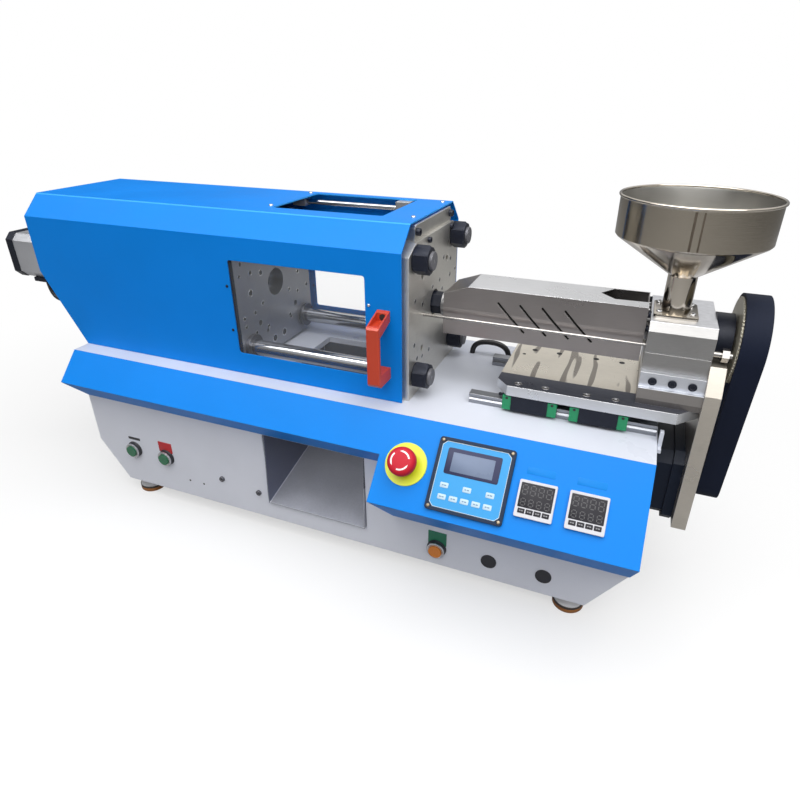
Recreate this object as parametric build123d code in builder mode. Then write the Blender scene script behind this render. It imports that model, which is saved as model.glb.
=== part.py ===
from build123d import *
from math import cos, pi, radians, sin, tan
import os

os.makedirs("parts", exist_ok=True)

# Shared allowances
overrun = 3.0
slide_gap = 0.3
bush_gap = 0.05
sheet = 2.0
thin_sheet = 1.5

# Feet, base and deck
foot_height = 32.0
foot_inset_x = 76.0
foot_inset_y = 30.0
foot_radius = 23.5
foot_pad_height = 9.0
foot_cup_height = 9.0
foot_dish_depth = 4.0
foot_boss_radius = 11.0
foot_stud_radius = 5.0
base_height = 255.0
base_chamfer_x = 52.0
base_chamfer_z = 78.0
base_front_inset = 3.0
deck_depth = 300.0
deck_thickness = 10.0

# Front console and the narrower strip beside it
console_angle = 47.0
return_angle = 46.0
console_face = 130.0
strip_face = 62.0

# Product chute, from the deck's right end and its front edge
chute_from_right = 404.0
chute_width = 184.0
chute_gap = 1.0
chute_hole_width = 168.0
chute_hole_front = 76.0
chute_hole_depth = 144.0
chute_back_drop = 172.0
chute_lip_drop = 228.0
chute_lip_height = 22.0
chute_lip_reach = 5.0
chute_mouth_drop = 93.5

# Emergency stop on the console
estop_margin = 11.8
estop_gap = 10.3
estop_down = 67.5
estop_ring_radius = 30.2
estop_ring_thickness = 1.5
estop_barrel_radius = 11.0
estop_barrel_depth = 34.0
estop_collar_radius = 14.5
estop_collar_height = 9.0
estop_head_radius = 20.2
estop_head_height = 15.0
estop_stem_radius = 8.0
estop_stem_depth = 16.0
estop_stem_room = 6.0
estop_stem_gap = 5.0
estop_dome = 4.0

# Operator display
hmi_gap = 11.5
hmi_down = 69.0
hmi_width = 105.0
hmi_height = 100.0
hmi_frame_thickness = 5.0
hmi_frame_corner = 4.0
hmi_frame_border = 4.5
hmi_face_recess = 1.2
hmi_overlay_thickness = 1.0
hmi_body_width = 94.0
hmi_body_height = 88.0
hmi_body_depth = 24.0

# Temperature controllers
controller_side = 48.0
controller_margin = 45.5
controller_gap = 15.5
controller_down = 77.0
controller_bezel = 5.0
controller_corner = 2.0
controller_case_side = 44.5
controller_case_depth = 52.0
controller_lens_width = 40.0
controller_lens_height = 30.0
controller_lens_thickness = 1.2
controller_lens_lift = 5.5

# Push buttons and hole plugs in the base front
button_drop = 190.5
green_left_from_left = 85.0
green_right_from_left = 160.0
amber_from_right = 281.5
amber_drop = 231.0
button_barrel_radius = 11.0
button_barrel_depth = 40.0
button_collar_radius = 15.0
button_collar_height = 2.5
button_bezel_radius = 14.0
button_bezel_height = 6.5
button_cap_radius = 10.5
button_cap_proud = 2.5
button_cap_gap = 3.4
button_stem_radius = 6.0
button_stem_depth = 16.0
button_stem_room = 5.0
plug_drop = 230.0
plug_left_from_right = 198.0
plug_right_from_right = 115.0
plug_radius = 10.0
plug_rim_radius = 12.0
plug_rim_height = 1.6
plug_depth = 8.0

# Injection and clamp axis over the deck
axis_height = 120.0
axis_setback = 148.0

# Platens and tie bars
fixed_face_from_right = 344.0
platen_thickness = 25.0
platen_width = 216.0
fixed_platen_height = 228.0
fixed_corner_y = 27.0
fixed_corner_z = 14.0
tie_bar_radius = 12.5
tie_spacing_y = 166.0
tie_spacing_z = 173.0
tie_nut_flats = 36.0
tie_nut_height = 23.0
tie_end_height = 27.0
nozzle_hole_radius = 20.0
locating_radius = 30.0
locating_depth = 8.0
mould_bolt_spacing = 110.0
mould_bolt_radius = 5.0
mould_daylight = 261.0
clamp_gap = 271.0
moving_platen_thickness = 28.0
moving_platen_top = 231.0
moving_platen_bottom = 5.0
moving_corner = 22.0
ejector_bore_radius = 23.0
bush_flange_radius = 21.0
bush_flange_thickness = 6.0
bush_wall = 4.0
knock_spacing_y = 74.0
knock_spacing_z = 150.0
knock_radius = 3.4

# Hood guide bar and rods over the fixed platen
top_bar_setback = 6.0
top_bar_wall = 4.0
top_bar_high = 249.0
top_bar_corner = 5.0
guide_rod_radius = 4.0
guide_spacing = 142.0
guide_height = 241.0

# Tail platen, ram and clamp drive
tail_inset = 12.0
tail_thickness = 25.0
tail_corner = 26.0
tube_outer_radius = 30.0
tube_inner_radius = 23.0
ram_exposed = 34.0
tube_flange_radius = 44.0
tube_flange_thickness = 10.0
ram_radius = 19.0
ram_bore_radius = 13.0
gland_length = 20.0
ram_start = 56.0
ram_flange_radius = 32.0
ram_flange_thickness = 9.0
ball_nut_radius = 22.0
ball_nut_length = 40.0
clamp_screw_radius = 10.0
clamp_screw_end_gap = 30.0
bearing_length = 14.0
bearing_radius = 22.0
bell_length = 90.0
bell_outer_radius = 44.0
bell_inner_radius = 36.0
coupling_radius = 20.0
coupling_length = 46.0
coupling_end_gap = 16.0
motor_side = 84.0
motor_corner = 12.0
motor_front_cap = 12.0
motor_body = 140.0
motor_rear_cap = 17.0
motor_cap_side = 86.0
motor_shaft_radius = 7.0
motor_socket_room = 2.0
motor_box_length = 34.0
motor_box_width = 30.0
motor_box_height = 8.0

# Sliding hood
hood_front_inset = 30.0
hood_depth = 252.0
hood_lift = 0.5
hood_height = 254.0
hood_chamfer_y = 34.0
hood_chamfer_z = 33.0
hood_setback = 7.0
hood_overhang = 71.0
hood_slant_z = 127.0
window_inset = 54.5
window_width = 225.5
window_low = 36.0
window_high = 186.0
window_corner = 4.0
hatch_inset = 55.0
hatch_width = 181.0
hatch_setback = 96.0
hatch_depth = 139.0
pane_thickness = 3.0
pane_overlap = 12.0
slide_block_length = 24.0
slide_block_width = 18.0
slide_block_wall = 2.4
slide_block_right_inset = 62.0
slide_block_pitch = 190.0

# Bow handle on the hood
handle_inset = 26.5
handle_width = 19.0
handle_low = 38.5
handle_high = 141.0
handle_reach = 40.0
handle_bar = 5.5
handle_foot_low = 17.0
handle_foot_high = 15.0
handle_shoulder = 12.5
handle_edge = 2.0
handle_pocket_width = 14.6
handle_pocket_length = 28.0
handle_pocket_depth = 8.0

# Linear rails and bearing blocks
rail_width = 15.0
rail_height = 15.0
rail_groove = 2.2
rail_groove_low = 6.0
rail_groove_high = 11.0
rail_length = 259.0
rail_right_inset = 2.0
rail_spacing = 140.0
block_width = 34.0
block_low = 4.3
block_high = 28.0
block_body_length = 51.0
block_cap_length = 12.5
block_cap_inset = 1.0
block_cap_drop = 2.5
block_pitch = 93.5
block_middle_from_right = 125.0

# Carriage plate
carriage_overhang = 43.0
carriage_left_from_right = 222.0
carriage_width = 176.0
carriage_thickness = 15.0
carriage_left_corner_x = 18.0
carriage_left_corner_y = 20.0
carriage_right_corner_x = 26.0
carriage_right_corner_y = 28.0

# Drive plate, gearbox side
drive_plate_thickness = 19.0
drive_plate_width = 156.0
drive_plate_low = 140.0
drive_plate_shoulder = 69.0
drive_plate_top = 103.0
drive_plate_top_width = 120.0
housing_radius = 34.0
housing_length = 22.0

# Feed block stack
feed_left_from_right = 36.0
riser_width = 136.0
riser_height = 43.0
riser_foot_width = 148.0
riser_foot_height = 23.0
feed_width = 120.0
feed_top = 150.0
feed_chamfer_y = 8.0
feed_chamfer_z = 11.0
feed_line_height = 110.0
feed_line_depth = 1.2
feed_line_width = 1.6
throat_radius = 16.0

# Hopper
hopper_from_right = 6.5
hopper_radius = 91.5
hopper_rim_bead = 2.6
hopper_wall_height = 51.0
hopper_cone_height = 48.0
hopper_neck_height = 49.0
hopper_neck_radius = 18.0
hopper_sheet = 1.5
hopper_flange_side = 54.0
hopper_flange_thickness = 4.0

# Barrel, nozzle and heaters
barrel_radius = 19.0
nozzle_flats = 30.0
nozzle_hex_length = 26.0
nozzle_entry = 10.0
nozzle_neck_radius = 9.0
nozzle_tip_radius = 3.5
nozzle_reach = 6.0
nozzle_bore_radius = 2.0
screw_radius = 10.5
screw_tip_length = 24.0
screw_tip_radius = 3.0
screw_end_gap = 2.0
band_thickness = 5.0
band_width = 42.0
band_count = 4
band_pitch = 62.0
band_first_gap = 44.0

# Heater cover
cover_left_from_right = 317.5
cover_gap = 4.0
cover_top = 41.0
cover_low = 34.0
cover_top_width = 70.0
cover_fold_width = 76.0
cover_fold_height = 8.0
cover_hip_length = 36.0
cover_hip_drop = 13.0
cover_slot_count = 4
cover_slot_pitch = 31.0
cover_slot_length = 58.0
cover_slot_width = 3.2
cover_slot_first = 100.5
cover_slot_lift = 3.5
cover_slot_angle = -45.0
cover_notch_short = 43.5
cover_notch_long = 63.5
cover_notch_rear = 47.0
cover_notch_front = 11.0
cover_notch_waist = 13.0
cover_notch_tip = 8.0
cover_barrel_gap = 1.5
cover_post_radius = 4.0
cover_post_spread = 56.0
cover_post_lift = 24.0

# Stop rods beside the barrel
stop_rod_spacing = 98.0
stop_rod_drop = 4.0
stop_rod_radius = 4.0
stop_shank_radius = 2.2
stop_step_depth = 4.0
stop_nut_flats = 16.0
stop_nut_height = 8.0
stop_rod_tail = 4.0
carriage_travel = 10.0
stop_gap = 0.4

# Timing belt drive of the feed screw
tooth_pitch = 5.0
large_teeth = 72
small_teeth = 32
tooth_depth = 2.0
tooth_tip_share = 0.22
tooth_root_share = 0.32
pitch_line_drop = 0.6
belt_width = 30.0
belt_thickness = 4.5
pulley_gap = 8.0
pulley_lead = 2.0
pulley_inset = 1.0
pulley_dish_depth = 8.0
pulley_dish_rim = 9.0
pulley_hub_radius = 20.0
screw_shaft_radius = 10.0
motor_axis_drop = 92.0
feed_motor_side = 106.0
feed_motor_flange_side = 116.0
feed_motor_flange = 14.0
feed_motor_length = 138.0
feed_motor_corner = 14.0
feed_motor_socket = 40.0
feed_shaft_radius = 9.5
feed_shaft_room = 4.0

# Electrical units on the base floor
supply_length = 160.0
supply_width = 110.0
supply_height = 50.0
supply_gap = 10.0
driver_length = 118.0
driver_width = 36.0
driver_height = 90.0
driver_pitch = 44.0
driver_gap = 12.0
driver_count = 2

# Leads
lead_radius = 4.5
lead_bend = 16.0
motor_lead_from_end = 55.0
motor_lead_side = 20.0
motor_lead_drop = 34.0
motor_lead_run = 40.0
motor_lead_height = 30.0
heater_lead_left_from_right = 306.0
heater_lead_length = 64.0
heater_lead_height = 24.0
heater_lead_setback = 248.0

# Frame of the machine: middle of its box, on the floor
tail_span = tail_inset + tail_thickness + clamp_gap
deck_length = (
    tail_span + moving_platen_thickness + mould_daylight + platen_thickness + fixed_face_from_right
)
controller_pitch = controller_side + controller_gap
controller_right_from_right = controller_margin + controller_side / 2
controllers_from_right = controller_margin + controller_side + controller_pitch
hmi_from_right = controllers_from_right + hmi_gap + hmi_width / 2
estop_from_right = hmi_from_right + hmi_width / 2 + estop_gap + estop_ring_radius
console_length = estop_from_right + estop_ring_radius + estop_margin
motor_overhang = bell_length + motor_front_cap + motor_body + motor_rear_cap - tail_inset
belt_overhang = carriage_overhang + drive_plate_thickness + pulley_gap + belt_width
overall_length = motor_overhang + deck_length + belt_overhang
deck_left = motor_overhang - overall_length / 2
deck_right = deck_left + deck_length
console_reach = console_face * cos(radians(console_angle))
deck_front = console_reach - (console_reach + deck_depth) / 2
deck_rear = deck_front + deck_depth
base_top = foot_height + base_height
deck_top = base_top + deck_thickness
base_front = deck_front + base_front_inset
axis_y = deck_front + axis_setback
axis_z = deck_top + axis_height


def from_right(distance):
    """A place along the machine, measured to the left from the deck's right end."""
    return deck_right - distance


def front_plane(y):
    """An upright plane facing the operator."""
    return Plane.XZ.offset(-y)


def side_plane(x):
    """An upright plane across the machine, facing right."""
    return Plane.YZ.offset(x)


def flat_plane(z):
    """A level plane."""
    return Plane.XY.offset(z)


def axis_plane(x):
    """A plane across the machine with its origin on the injection axis."""
    return Plane(origin=(x, axis_y, axis_z), x_dir=(0, 1, 0), z_dir=(1, 0, 0))


def save(piece, name):
    """Label a finished piece and write it out."""
    piece.part.label = name
    export_step(piece.part, f"parts/{name}.step")


panel_plane = Plane(
    origin=(deck_right, deck_front, deck_top),
    x_dir=(1, 0, 0),
    z_dir=(0, -sin(radians(console_angle)), cos(radians(console_angle))),
)

# Stations along the machine
fixed_face_x = from_right(fixed_face_from_right)
fixed_back_x = fixed_face_x - platen_thickness
moving_face_x = fixed_back_x - mould_daylight
moving_back_x = moving_face_x - moving_platen_thickness
tail_left_x = deck_left + tail_inset
tail_right_x = tail_left_x + tail_thickness
motor_flange_x = tail_left_x - bell_length
carriage_right_x = deck_right + carriage_overhang
drive_right_x = carriage_right_x + drive_plate_thickness
belt_left_x = drive_right_x + pulley_gap
feed_left_x = from_right(feed_left_from_right)
carriage_low_z = deck_top + block_high
carriage_top_z = carriage_low_z + carriage_thickness
tie_points = [
    (side * tie_spacing_y / 2, level * tie_spacing_z / 2) for side in (-1, 1) for level in (-1, 1)
]
button_points = [
    (deck_left + green_left_from_left, deck_top - button_drop),
    (deck_left + green_right_from_left, deck_top - button_drop),
    (from_right(amber_from_right), deck_top - amber_drop),
]
plug_points = [
    (from_right(plug_left_from_right), deck_top - plug_drop),
    (from_right(plug_right_from_right), deck_top - plug_drop),
]
foot_points = [
    (x, y)
    for x in (deck_left + foot_inset_x, deck_right - foot_inset_x)
    for y in (base_front + foot_inset_y, deck_rear - foot_inset_y)
]

# Base cabinet: a folded box with cut lower corners, open on top and at its motor bay
chute_middle_x = from_right(chute_from_right) - chute_width / 2
chute_low_z = deck_top - chute_lip_drop
chute_mouth_z = deck_top - chute_mouth_drop
with BuildPart() as base_cabinet:
    with BuildSketch(front_plane(base_front)):
        Polygon(
            (deck_left, base_top),
            (deck_left, foot_height + base_chamfer_z),
            (deck_left + base_chamfer_x, foot_height),
            (deck_right - base_chamfer_x, foot_height),
            (deck_right, foot_height + base_chamfer_z),
            (deck_right, base_top),
            align=None,
        )
    extrude(amount=base_front - deck_rear)
    lid = base_cabinet.faces().sort_by(Axis.Z)[-1]
    offset(amount=-sheet, openings=lid, kind=Kind.INTERSECTION)
    with BuildSketch(front_plane(base_front - overrun)):
        with Locations((chute_middle_x, (chute_low_z + chute_mouth_z) / 2)):
            Rectangle(chute_width + 2 * chute_gap, chute_mouth_z - chute_low_z + 2 * chute_gap)
        with Locations(*button_points):
            Circle(button_barrel_radius)
        with Locations(*plug_points):
            Circle(plug_radius)
    extrude(amount=-(sheet + 2 * overrun), mode=Mode.SUBTRACT)
    with BuildSketch(side_plane(deck_right + overrun)):
        bay_low = foot_height + base_chamfer_z
        with Locations((axis_y, (bay_low + base_top + overrun) / 2)):
            Rectangle(drive_plate_width, base_top + overrun - bay_low)
    extrude(amount=-(sheet + 2 * overrun), mode=Mode.SUBTRACT)
save(base_cabinet, "base_cabinet")

# Deck plate with the hole that parts drop through
with BuildPart() as deck_plate:
    with BuildSketch(flat_plane(base_top)):
        with Locations(((deck_left + deck_right) / 2, (deck_front + deck_rear) / 2)):
            Rectangle(deck_length, deck_depth)
        chute_hole_x = from_right(chute_from_right) - thin_sheet - chute_hole_width / 2
        with Locations((chute_hole_x, deck_front + chute_hole_front + chute_hole_depth / 2)):
            Rectangle(chute_hole_width, chute_hole_depth, mode=Mode.SUBTRACT)
    extrude(amount=deck_thickness)
save(deck_plate, "deck_plate")


def nose_points(face):
    """Section of a folded nose: slope from the deck edge, fold, slope back to the base."""
    reach = face * cos(radians(console_angle))
    drop = face * sin(radians(console_angle))
    back = drop + (reach + base_front_inset) * tan(radians(return_angle))
    return [
        (deck_front, deck_top),
        (deck_front - reach, deck_top - drop),
        (base_front, deck_top - back),
        (base_front, base_top),
        (deck_front, base_top),
    ]


# Console panel: wide face at the right, narrow strip at the left, folded as one nose
with BuildPart() as console_panel:
    with BuildSketch(side_plane(deck_left)):
        Polygon(*nose_points(strip_face), align=None)
    extrude(amount=deck_length - console_length)
    with BuildSketch(side_plane(from_right(console_length))):
        Polygon(*nose_points(console_face), align=None)
    extrude(amount=console_length)
    backs = console_panel.faces().filter_by(Axis.Y).group_by(Axis.Y)[-1]
    offset(amount=-sheet, openings=backs, kind=Kind.INTERSECTION)
    with BuildSketch(panel_plane.offset(overrun)):
        with Locations((-estop_from_right, -estop_down)):
            Circle(estop_barrel_radius)
        with Locations((-hmi_from_right, -hmi_down)):
            Rectangle(hmi_body_width, hmi_body_height)
        for step in (0, 1):
            with Locations((-controller_right_from_right - step * controller_pitch, -controller_down)):
                Rectangle(controller_case_side, controller_case_side)
    extrude(amount=-(sheet + 2 * overrun), mode=Mode.SUBTRACT)
save(console_panel, "console_panel")

# Levelling feet: dished cups with studs, on turned pads
with BuildPart() as foot_cups:
    with BuildSketch(Plane.XZ) as foot_section:
        Polygon(
            (0, foot_pad_height),
            (foot_radius, foot_pad_height),
            (foot_radius, foot_pad_height + foot_cup_height),
            (foot_boss_radius, foot_pad_height + foot_cup_height - foot_dish_depth),
            (foot_stud_radius, foot_pad_height + foot_cup_height),
            (foot_stud_radius, foot_height),
            (0, foot_height),
            align=None,
        )
    foot_solid = revolve(axis=Axis.Z, mode=Mode.PRIVATE)
    with Locations(*[(x, y, 0) for x, y in foot_points]):
        add(foot_solid)
save(foot_cups, "foot_cups")

with BuildPart() as foot_pads:
    with BuildSketch(flat_plane(0)):
        with Locations(*foot_points):
            Circle(foot_radius)
    extrude(amount=foot_pad_height)
save(foot_pads, "foot_pads")

# Product chute: a folded duct under the deck hole that opens to the front over a sloping floor
chute_hole_y = deck_front + chute_hole_front
with BuildPart() as chute_tray:
    with BuildSketch(side_plane(chute_middle_x - chute_width / 2)):
        Polygon(
            (chute_hole_y, base_top),
            (chute_hole_y + chute_hole_depth, base_top),
            (chute_hole_y + chute_hole_depth, deck_top - chute_back_drop),
            (base_front - chute_lip_reach, chute_low_z),
            (base_front - chute_lip_reach, chute_low_z + chute_lip_height),
            (base_front + sheet, chute_mouth_z),
            align=None,
        )
    extrude(amount=chute_width)
    mouths = chute_tray.faces().filter_by(
        lambda face: abs(face.normal_at().X) == 0 and (face.normal_at().Y < 0 or face.normal_at().Z > 0)
    )
    offset(amount=-thin_sheet, openings=mouths, kind=Kind.INTERSECTION)
save(chute_tray, "chute_tray")

# Emergency stop: backing ring, fixed base and the mushroom head that travels
estop_spot = (-estop_from_right, -estop_down)
with BuildPart() as estop_ring:
    with BuildSketch(panel_plane):
        with Locations(estop_spot):
            Circle(estop_ring_radius)
            Circle(estop_barrel_radius, mode=Mode.SUBTRACT)
    extrude(amount=estop_ring_thickness)
save(estop_ring, "estop_ring")

estop_bore_depth = estop_stem_depth + estop_stem_room
with BuildPart() as estop_base:
    with BuildSketch(panel_plane.offset(-estop_barrel_depth)):
        with Locations(estop_spot):
            Circle(estop_barrel_radius)
    extrude(amount=estop_barrel_depth + estop_ring_thickness)
    with BuildSketch(panel_plane.offset(estop_ring_thickness)):
        with Locations(estop_spot):
            Circle(estop_collar_radius)
    extrude(amount=estop_collar_height)
    with BuildSketch(panel_plane.offset(estop_ring_thickness + estop_collar_height)):
        with Locations(estop_spot):
            Circle(estop_stem_radius + slide_gap)
    extrude(amount=-estop_bore_depth, mode=Mode.SUBTRACT)
save(estop_base, "estop_base")

estop_collar_top = estop_ring_thickness + estop_collar_height
with BuildPart() as estop_head:
    with BuildSketch(panel_plane.offset(estop_collar_top - estop_stem_depth)):
        with Locations(estop_spot):
            Circle(estop_stem_radius)
    extrude(amount=estop_stem_depth + estop_stem_gap)
    with BuildSketch(panel_plane.offset(estop_collar_top + estop_stem_gap)):
        with Locations(estop_spot):
            Circle(estop_head_radius)
    extrude(amount=estop_head_height)
    crown = estop_head.edges().filter_by(GeomType.CIRCLE).group_by(SortBy.RADIUS)[-1]
    fillet(crown.sort_by(Axis(panel_plane.origin, panel_plane.z_dir))[-1], estop_dome)
save(estop_head, "estop_head")

# Operator display: frame with its case behind the panel, and the key film over its face
hmi_spot = (-hmi_from_right, -hmi_down)
hmi_open_width = hmi_width - 2 * hmi_frame_border
hmi_open_height = hmi_height - 2 * hmi_frame_border
hmi_floor = hmi_frame_thickness - hmi_face_recess - hmi_overlay_thickness
with BuildPart() as hmi_frame:
    with BuildSketch(panel_plane):
        with Locations(hmi_spot):
            RectangleRounded(hmi_width, hmi_height, hmi_frame_corner)
    extrude(amount=hmi_frame_thickness)
    with BuildSketch(panel_plane):
        with Locations(hmi_spot):
            Rectangle(hmi_body_width, hmi_body_height)
    extrude(amount=-hmi_body_depth)
    with BuildSketch(panel_plane.offset(hmi_floor)):
        with Locations(hmi_spot):
            Rectangle(hmi_open_width, hmi_open_height)
    extrude(amount=hmi_frame_thickness, mode=Mode.SUBTRACT)
save(hmi_frame, "hmi_frame")

with BuildPart() as hmi_overlay:
    with BuildSketch(panel_plane.offset(hmi_floor)):
        with Locations(hmi_spot):
            Rectangle(hmi_open_width, hmi_open_height)
    extrude(amount=hmi_overlay_thickness)
save(hmi_overlay, "hmi_overlay")

# Temperature controllers: cases with square bezels, and their dark faces
controller_spots = [
    (-controller_right_from_right - step * controller_pitch, -controller_down) for step in (0, 1)
]
with BuildPart() as controller_cases:
    with BuildSketch(panel_plane):
        with Locations(*controller_spots):
            RectangleRounded(controller_side, controller_side, controller_corner)
    extrude(amount=controller_bezel)
    with BuildSketch(panel_plane):
        with Locations(*controller_spots):
            Rectangle(controller_case_side, controller_case_side)
    extrude(amount=-controller_case_depth)
    with BuildSketch(panel_plane.offset(controller_bezel)):
        with Locations(*[(x, y + controller_lens_lift) for x, y in controller_spots]):
            Rectangle(controller_lens_width, controller_lens_height)
    extrude(amount=-controller_lens_thickness, mode=Mode.SUBTRACT)
save(controller_cases, "controller_cases")

with BuildPart() as controller_faces:
    with BuildSketch(panel_plane.offset(controller_bezel - controller_lens_thickness)):
        with Locations(*[(x, y + controller_lens_lift) for x, y in controller_spots]):
            Rectangle(controller_lens_width, controller_lens_height)
    extrude(amount=controller_lens_thickness)
save(controller_faces, "controller_faces")

# Push buttons: bodies with collars and bezels, and one travelling cap each
with BuildPart() as button_bodies:
    with BuildSketch(front_plane(base_front)):
        with Locations(*button_points):
            Circle(button_collar_radius)
    extrude(amount=button_collar_height)
    with BuildSketch(front_plane(base_front)):
        with Locations(*button_points):
            Circle(button_barrel_radius)
    extrude(amount=-button_barrel_depth)
    with BuildSketch(front_plane(base_front - button_collar_height)):
        with Locations(*button_points):
            Circle(button_stem_radius + slide_gap)
    extrude(amount=-(button_stem_depth + button_stem_room), mode=Mode.SUBTRACT)
    with BuildSketch(front_plane(base_front - button_collar_height)):
        with Locations(*button_points):
            Circle(button_bezel_radius)
            Circle(button_cap_radius + slide_gap, mode=Mode.SUBTRACT)
    extrude(amount=button_bezel_height)
save(button_bodies, "button_bodies")

button_names = ["green_button_left", "green_button_right", "amber_button"]
button_cap_height = button_bezel_height + button_cap_proud - button_cap_gap
button_seat_y = base_front - button_collar_height
for button_name, button_point in zip(button_names, button_points):
    with BuildPart() as button_cap:
        with BuildSketch(front_plane(button_seat_y - button_cap_gap)):
            with Locations(button_point):
                Circle(button_cap_radius)
        extrude(amount=button_cap_height)
        with BuildSketch(front_plane(button_seat_y - button_cap_gap)):
            with Locations(button_point):
                Circle(button_stem_radius)
        extrude(amount=-(button_cap_gap + button_stem_depth))
    save(button_cap, button_name)

# Blanking plugs in the base front
with BuildPart() as hole_plugs:
    with BuildSketch(front_plane(base_front)):
        with Locations(*plug_points):
            Circle(plug_rim_radius)
    extrude(amount=plug_rim_height)
    with BuildSketch(front_plane(base_front)):
        with Locations(*plug_points):
            Circle(plug_radius)
    extrude(amount=-plug_depth)
save(hole_plugs, "hole_plugs")

# Power supply and motor drivers on the base floor
floor_z = foot_height + sheet
with BuildPart() as drive_units:
    driver_last_x = chute_middle_x - chute_width / 2 - driver_gap - driver_width / 2
    with BuildSketch(flat_plane(floor_z)):
        for step in range(driver_count):
            with Locations((driver_last_x - step * driver_pitch, axis_y)):
                Rectangle(driver_width, driver_length)
    extrude(amount=driver_height)
    supply_right_x = driver_last_x - (driver_count - 1) * driver_pitch - driver_width / 2 - supply_gap
    with BuildSketch(flat_plane(floor_z)):
        with Locations((supply_right_x - supply_length / 2, axis_y)):
            Rectangle(supply_length, supply_width)
    extrude(amount=supply_height)
save(drive_units, "drive_units")

# Fixed platen: top corners cut, tie bar holes, nozzle hole, locating recess and mould bolt holes
mould_points = [
    (side * mould_bolt_spacing / 2, level * mould_bolt_spacing / 2) for side in (-1, 1) for level in (-1, 1)
]
platen_half = platen_width / 2
with BuildPart() as fixed_platen:
    with BuildSketch(axis_plane(fixed_back_x)):
        high = fixed_platen_height - axis_height
        Polygon(
            (-platen_half, -axis_height),
            (platen_half, -axis_height),
            (platen_half, high - fixed_corner_z),
            (platen_half - fixed_corner_y, high),
            (fixed_corner_y - platen_half, high),
            (-platen_half, high - fixed_corner_z),
            align=None,
        )
        with Locations(*tie_points):
            Circle(tie_bar_radius, mode=Mode.SUBTRACT)
        with Locations(*mould_points):
            Circle(mould_bolt_radius, mode=Mode.SUBTRACT)
        Circle(nozzle_hole_radius, mode=Mode.SUBTRACT)
    extrude(amount=platen_thickness)
    with BuildSketch(axis_plane(fixed_back_x - overrun)):
        Circle(locating_radius)
    extrude(amount=locating_depth + overrun, mode=Mode.SUBTRACT)
save(fixed_platen, "fixed_platen")

# Bar along the fixed platen's top that carries the hood guide rods
hood_middle = hood_front_inset + hood_depth / 2 - axis_setback
guide_points = [
    (hood_middle + side * guide_spacing / 2, guide_height - axis_height) for side in (-1, 1)
]
with BuildPart() as platen_top_bar:
    with BuildSketch(axis_plane(fixed_back_x)):
        bar_half = guide_spacing / 2 + guide_rod_radius + top_bar_wall
        bar_front = hood_middle - bar_half
        bar_rear = hood_middle + bar_half
        bar_high = top_bar_high - axis_height
        Polygon(
            (bar_front, fixed_platen_height - axis_height),
            (bar_rear, fixed_platen_height - axis_height),
            (bar_rear, bar_high - top_bar_corner),
            (bar_rear - top_bar_corner, bar_high),
            (bar_front + top_bar_corner, bar_high),
            (bar_front, bar_high - top_bar_corner),
            align=None,
        )
        with Locations(*guide_points):
            Circle(guide_rod_radius, mode=Mode.SUBTRACT)
    extrude(amount=platen_thickness - top_bar_setback)
save(platen_top_bar, "platen_top_bar")

# Tail platen: carries the tie bars' far ends, the guide rods and the clamp drive
with BuildPart() as tail_platen:
    with BuildSketch(axis_plane(tail_left_x)):
        tail_high = top_bar_high - axis_height
        Polygon(
            (-platen_half, -axis_height),
            (platen_half, -axis_height),
            (platen_half, tail_high - tail_corner),
            (platen_half - tail_corner, tail_high),
            (tail_corner - platen_half, tail_high),
            (-platen_half, tail_high - tail_corner),
            align=None,
        )
        with Locations(*tie_points):
            Circle(tie_bar_radius, mode=Mode.SUBTRACT)
        with Locations(*guide_points):
            Circle(guide_rod_radius, mode=Mode.SUBTRACT)
        Circle(bearing_radius, mode=Mode.SUBTRACT)
    extrude(amount=tail_thickness)
save(tail_platen, "tail_platen")

# Tie bars with a hexagon nut at each end
with BuildPart() as tie_bars:
    with BuildSketch(axis_plane(tail_left_x - tie_end_height)):
        with Locations(*tie_points):
            Circle(tie_bar_radius)
    extrude(amount=fixed_face_x - tail_left_x + 2 * tie_end_height)
save(tie_bars, "tie_bars")

with BuildPart() as tie_bar_nuts:
    for nut_x in (tail_left_x - tie_nut_height, fixed_face_x):
        with BuildSketch(axis_plane(nut_x)):
            with Locations(*tie_points):
                RegularPolygon(tie_nut_flats / 2, side_count=6, major_radius=False)
                Circle(tie_bar_radius, mode=Mode.SUBTRACT)
        extrude(amount=tie_nut_height)
save(tie_bar_nuts, "tie_bar_nuts")

# Guide rods for the hood, from the tail platen to the bar on the fixed platen
with BuildPart() as hood_guide_rods:
    with BuildSketch(axis_plane(tail_left_x)):
        with Locations(*guide_points):
            Circle(guide_rod_radius)
    extrude(amount=fixed_face_x - top_bar_setback - tail_left_x)
save(hood_guide_rods, "hood_guide_rods")

# Moving platen: lower corners cut, bush holes, ejector bore and two sets of tapped holes
bush_radius = tie_bar_radius + bush_wall
knock_points = [
    (side * knock_spacing_y / 2, level * knock_spacing_z / 2) for side in (-1, 1) for level in (-1, 1)
]
with BuildPart() as moving_platen:
    with BuildSketch(axis_plane(moving_back_x)):
        moving_low = moving_platen_bottom - axis_height
        moving_high = moving_platen_top - axis_height
        Polygon(
            (moving_corner - platen_half, moving_low),
            (platen_half - moving_corner, moving_low),
            (platen_half, moving_low + moving_corner),
            (platen_half, moving_high - fixed_corner_z),
            (platen_half - fixed_corner_y, moving_high),
            (fixed_corner_y - platen_half, moving_high),
            (-platen_half, moving_high - fixed_corner_z),
            (-platen_half, moving_low + moving_corner),
            align=None,
        )
        with Locations(*tie_points):
            Circle(bush_radius, mode=Mode.SUBTRACT)
        with Locations(*mould_points):
            Circle(mould_bolt_radius, mode=Mode.SUBTRACT)
        with Locations(*knock_points):
            Circle(knock_radius, mode=Mode.SUBTRACT)
        Circle(ejector_bore_radius, mode=Mode.SUBTRACT)
    extrude(amount=moving_platen_thickness)
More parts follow.
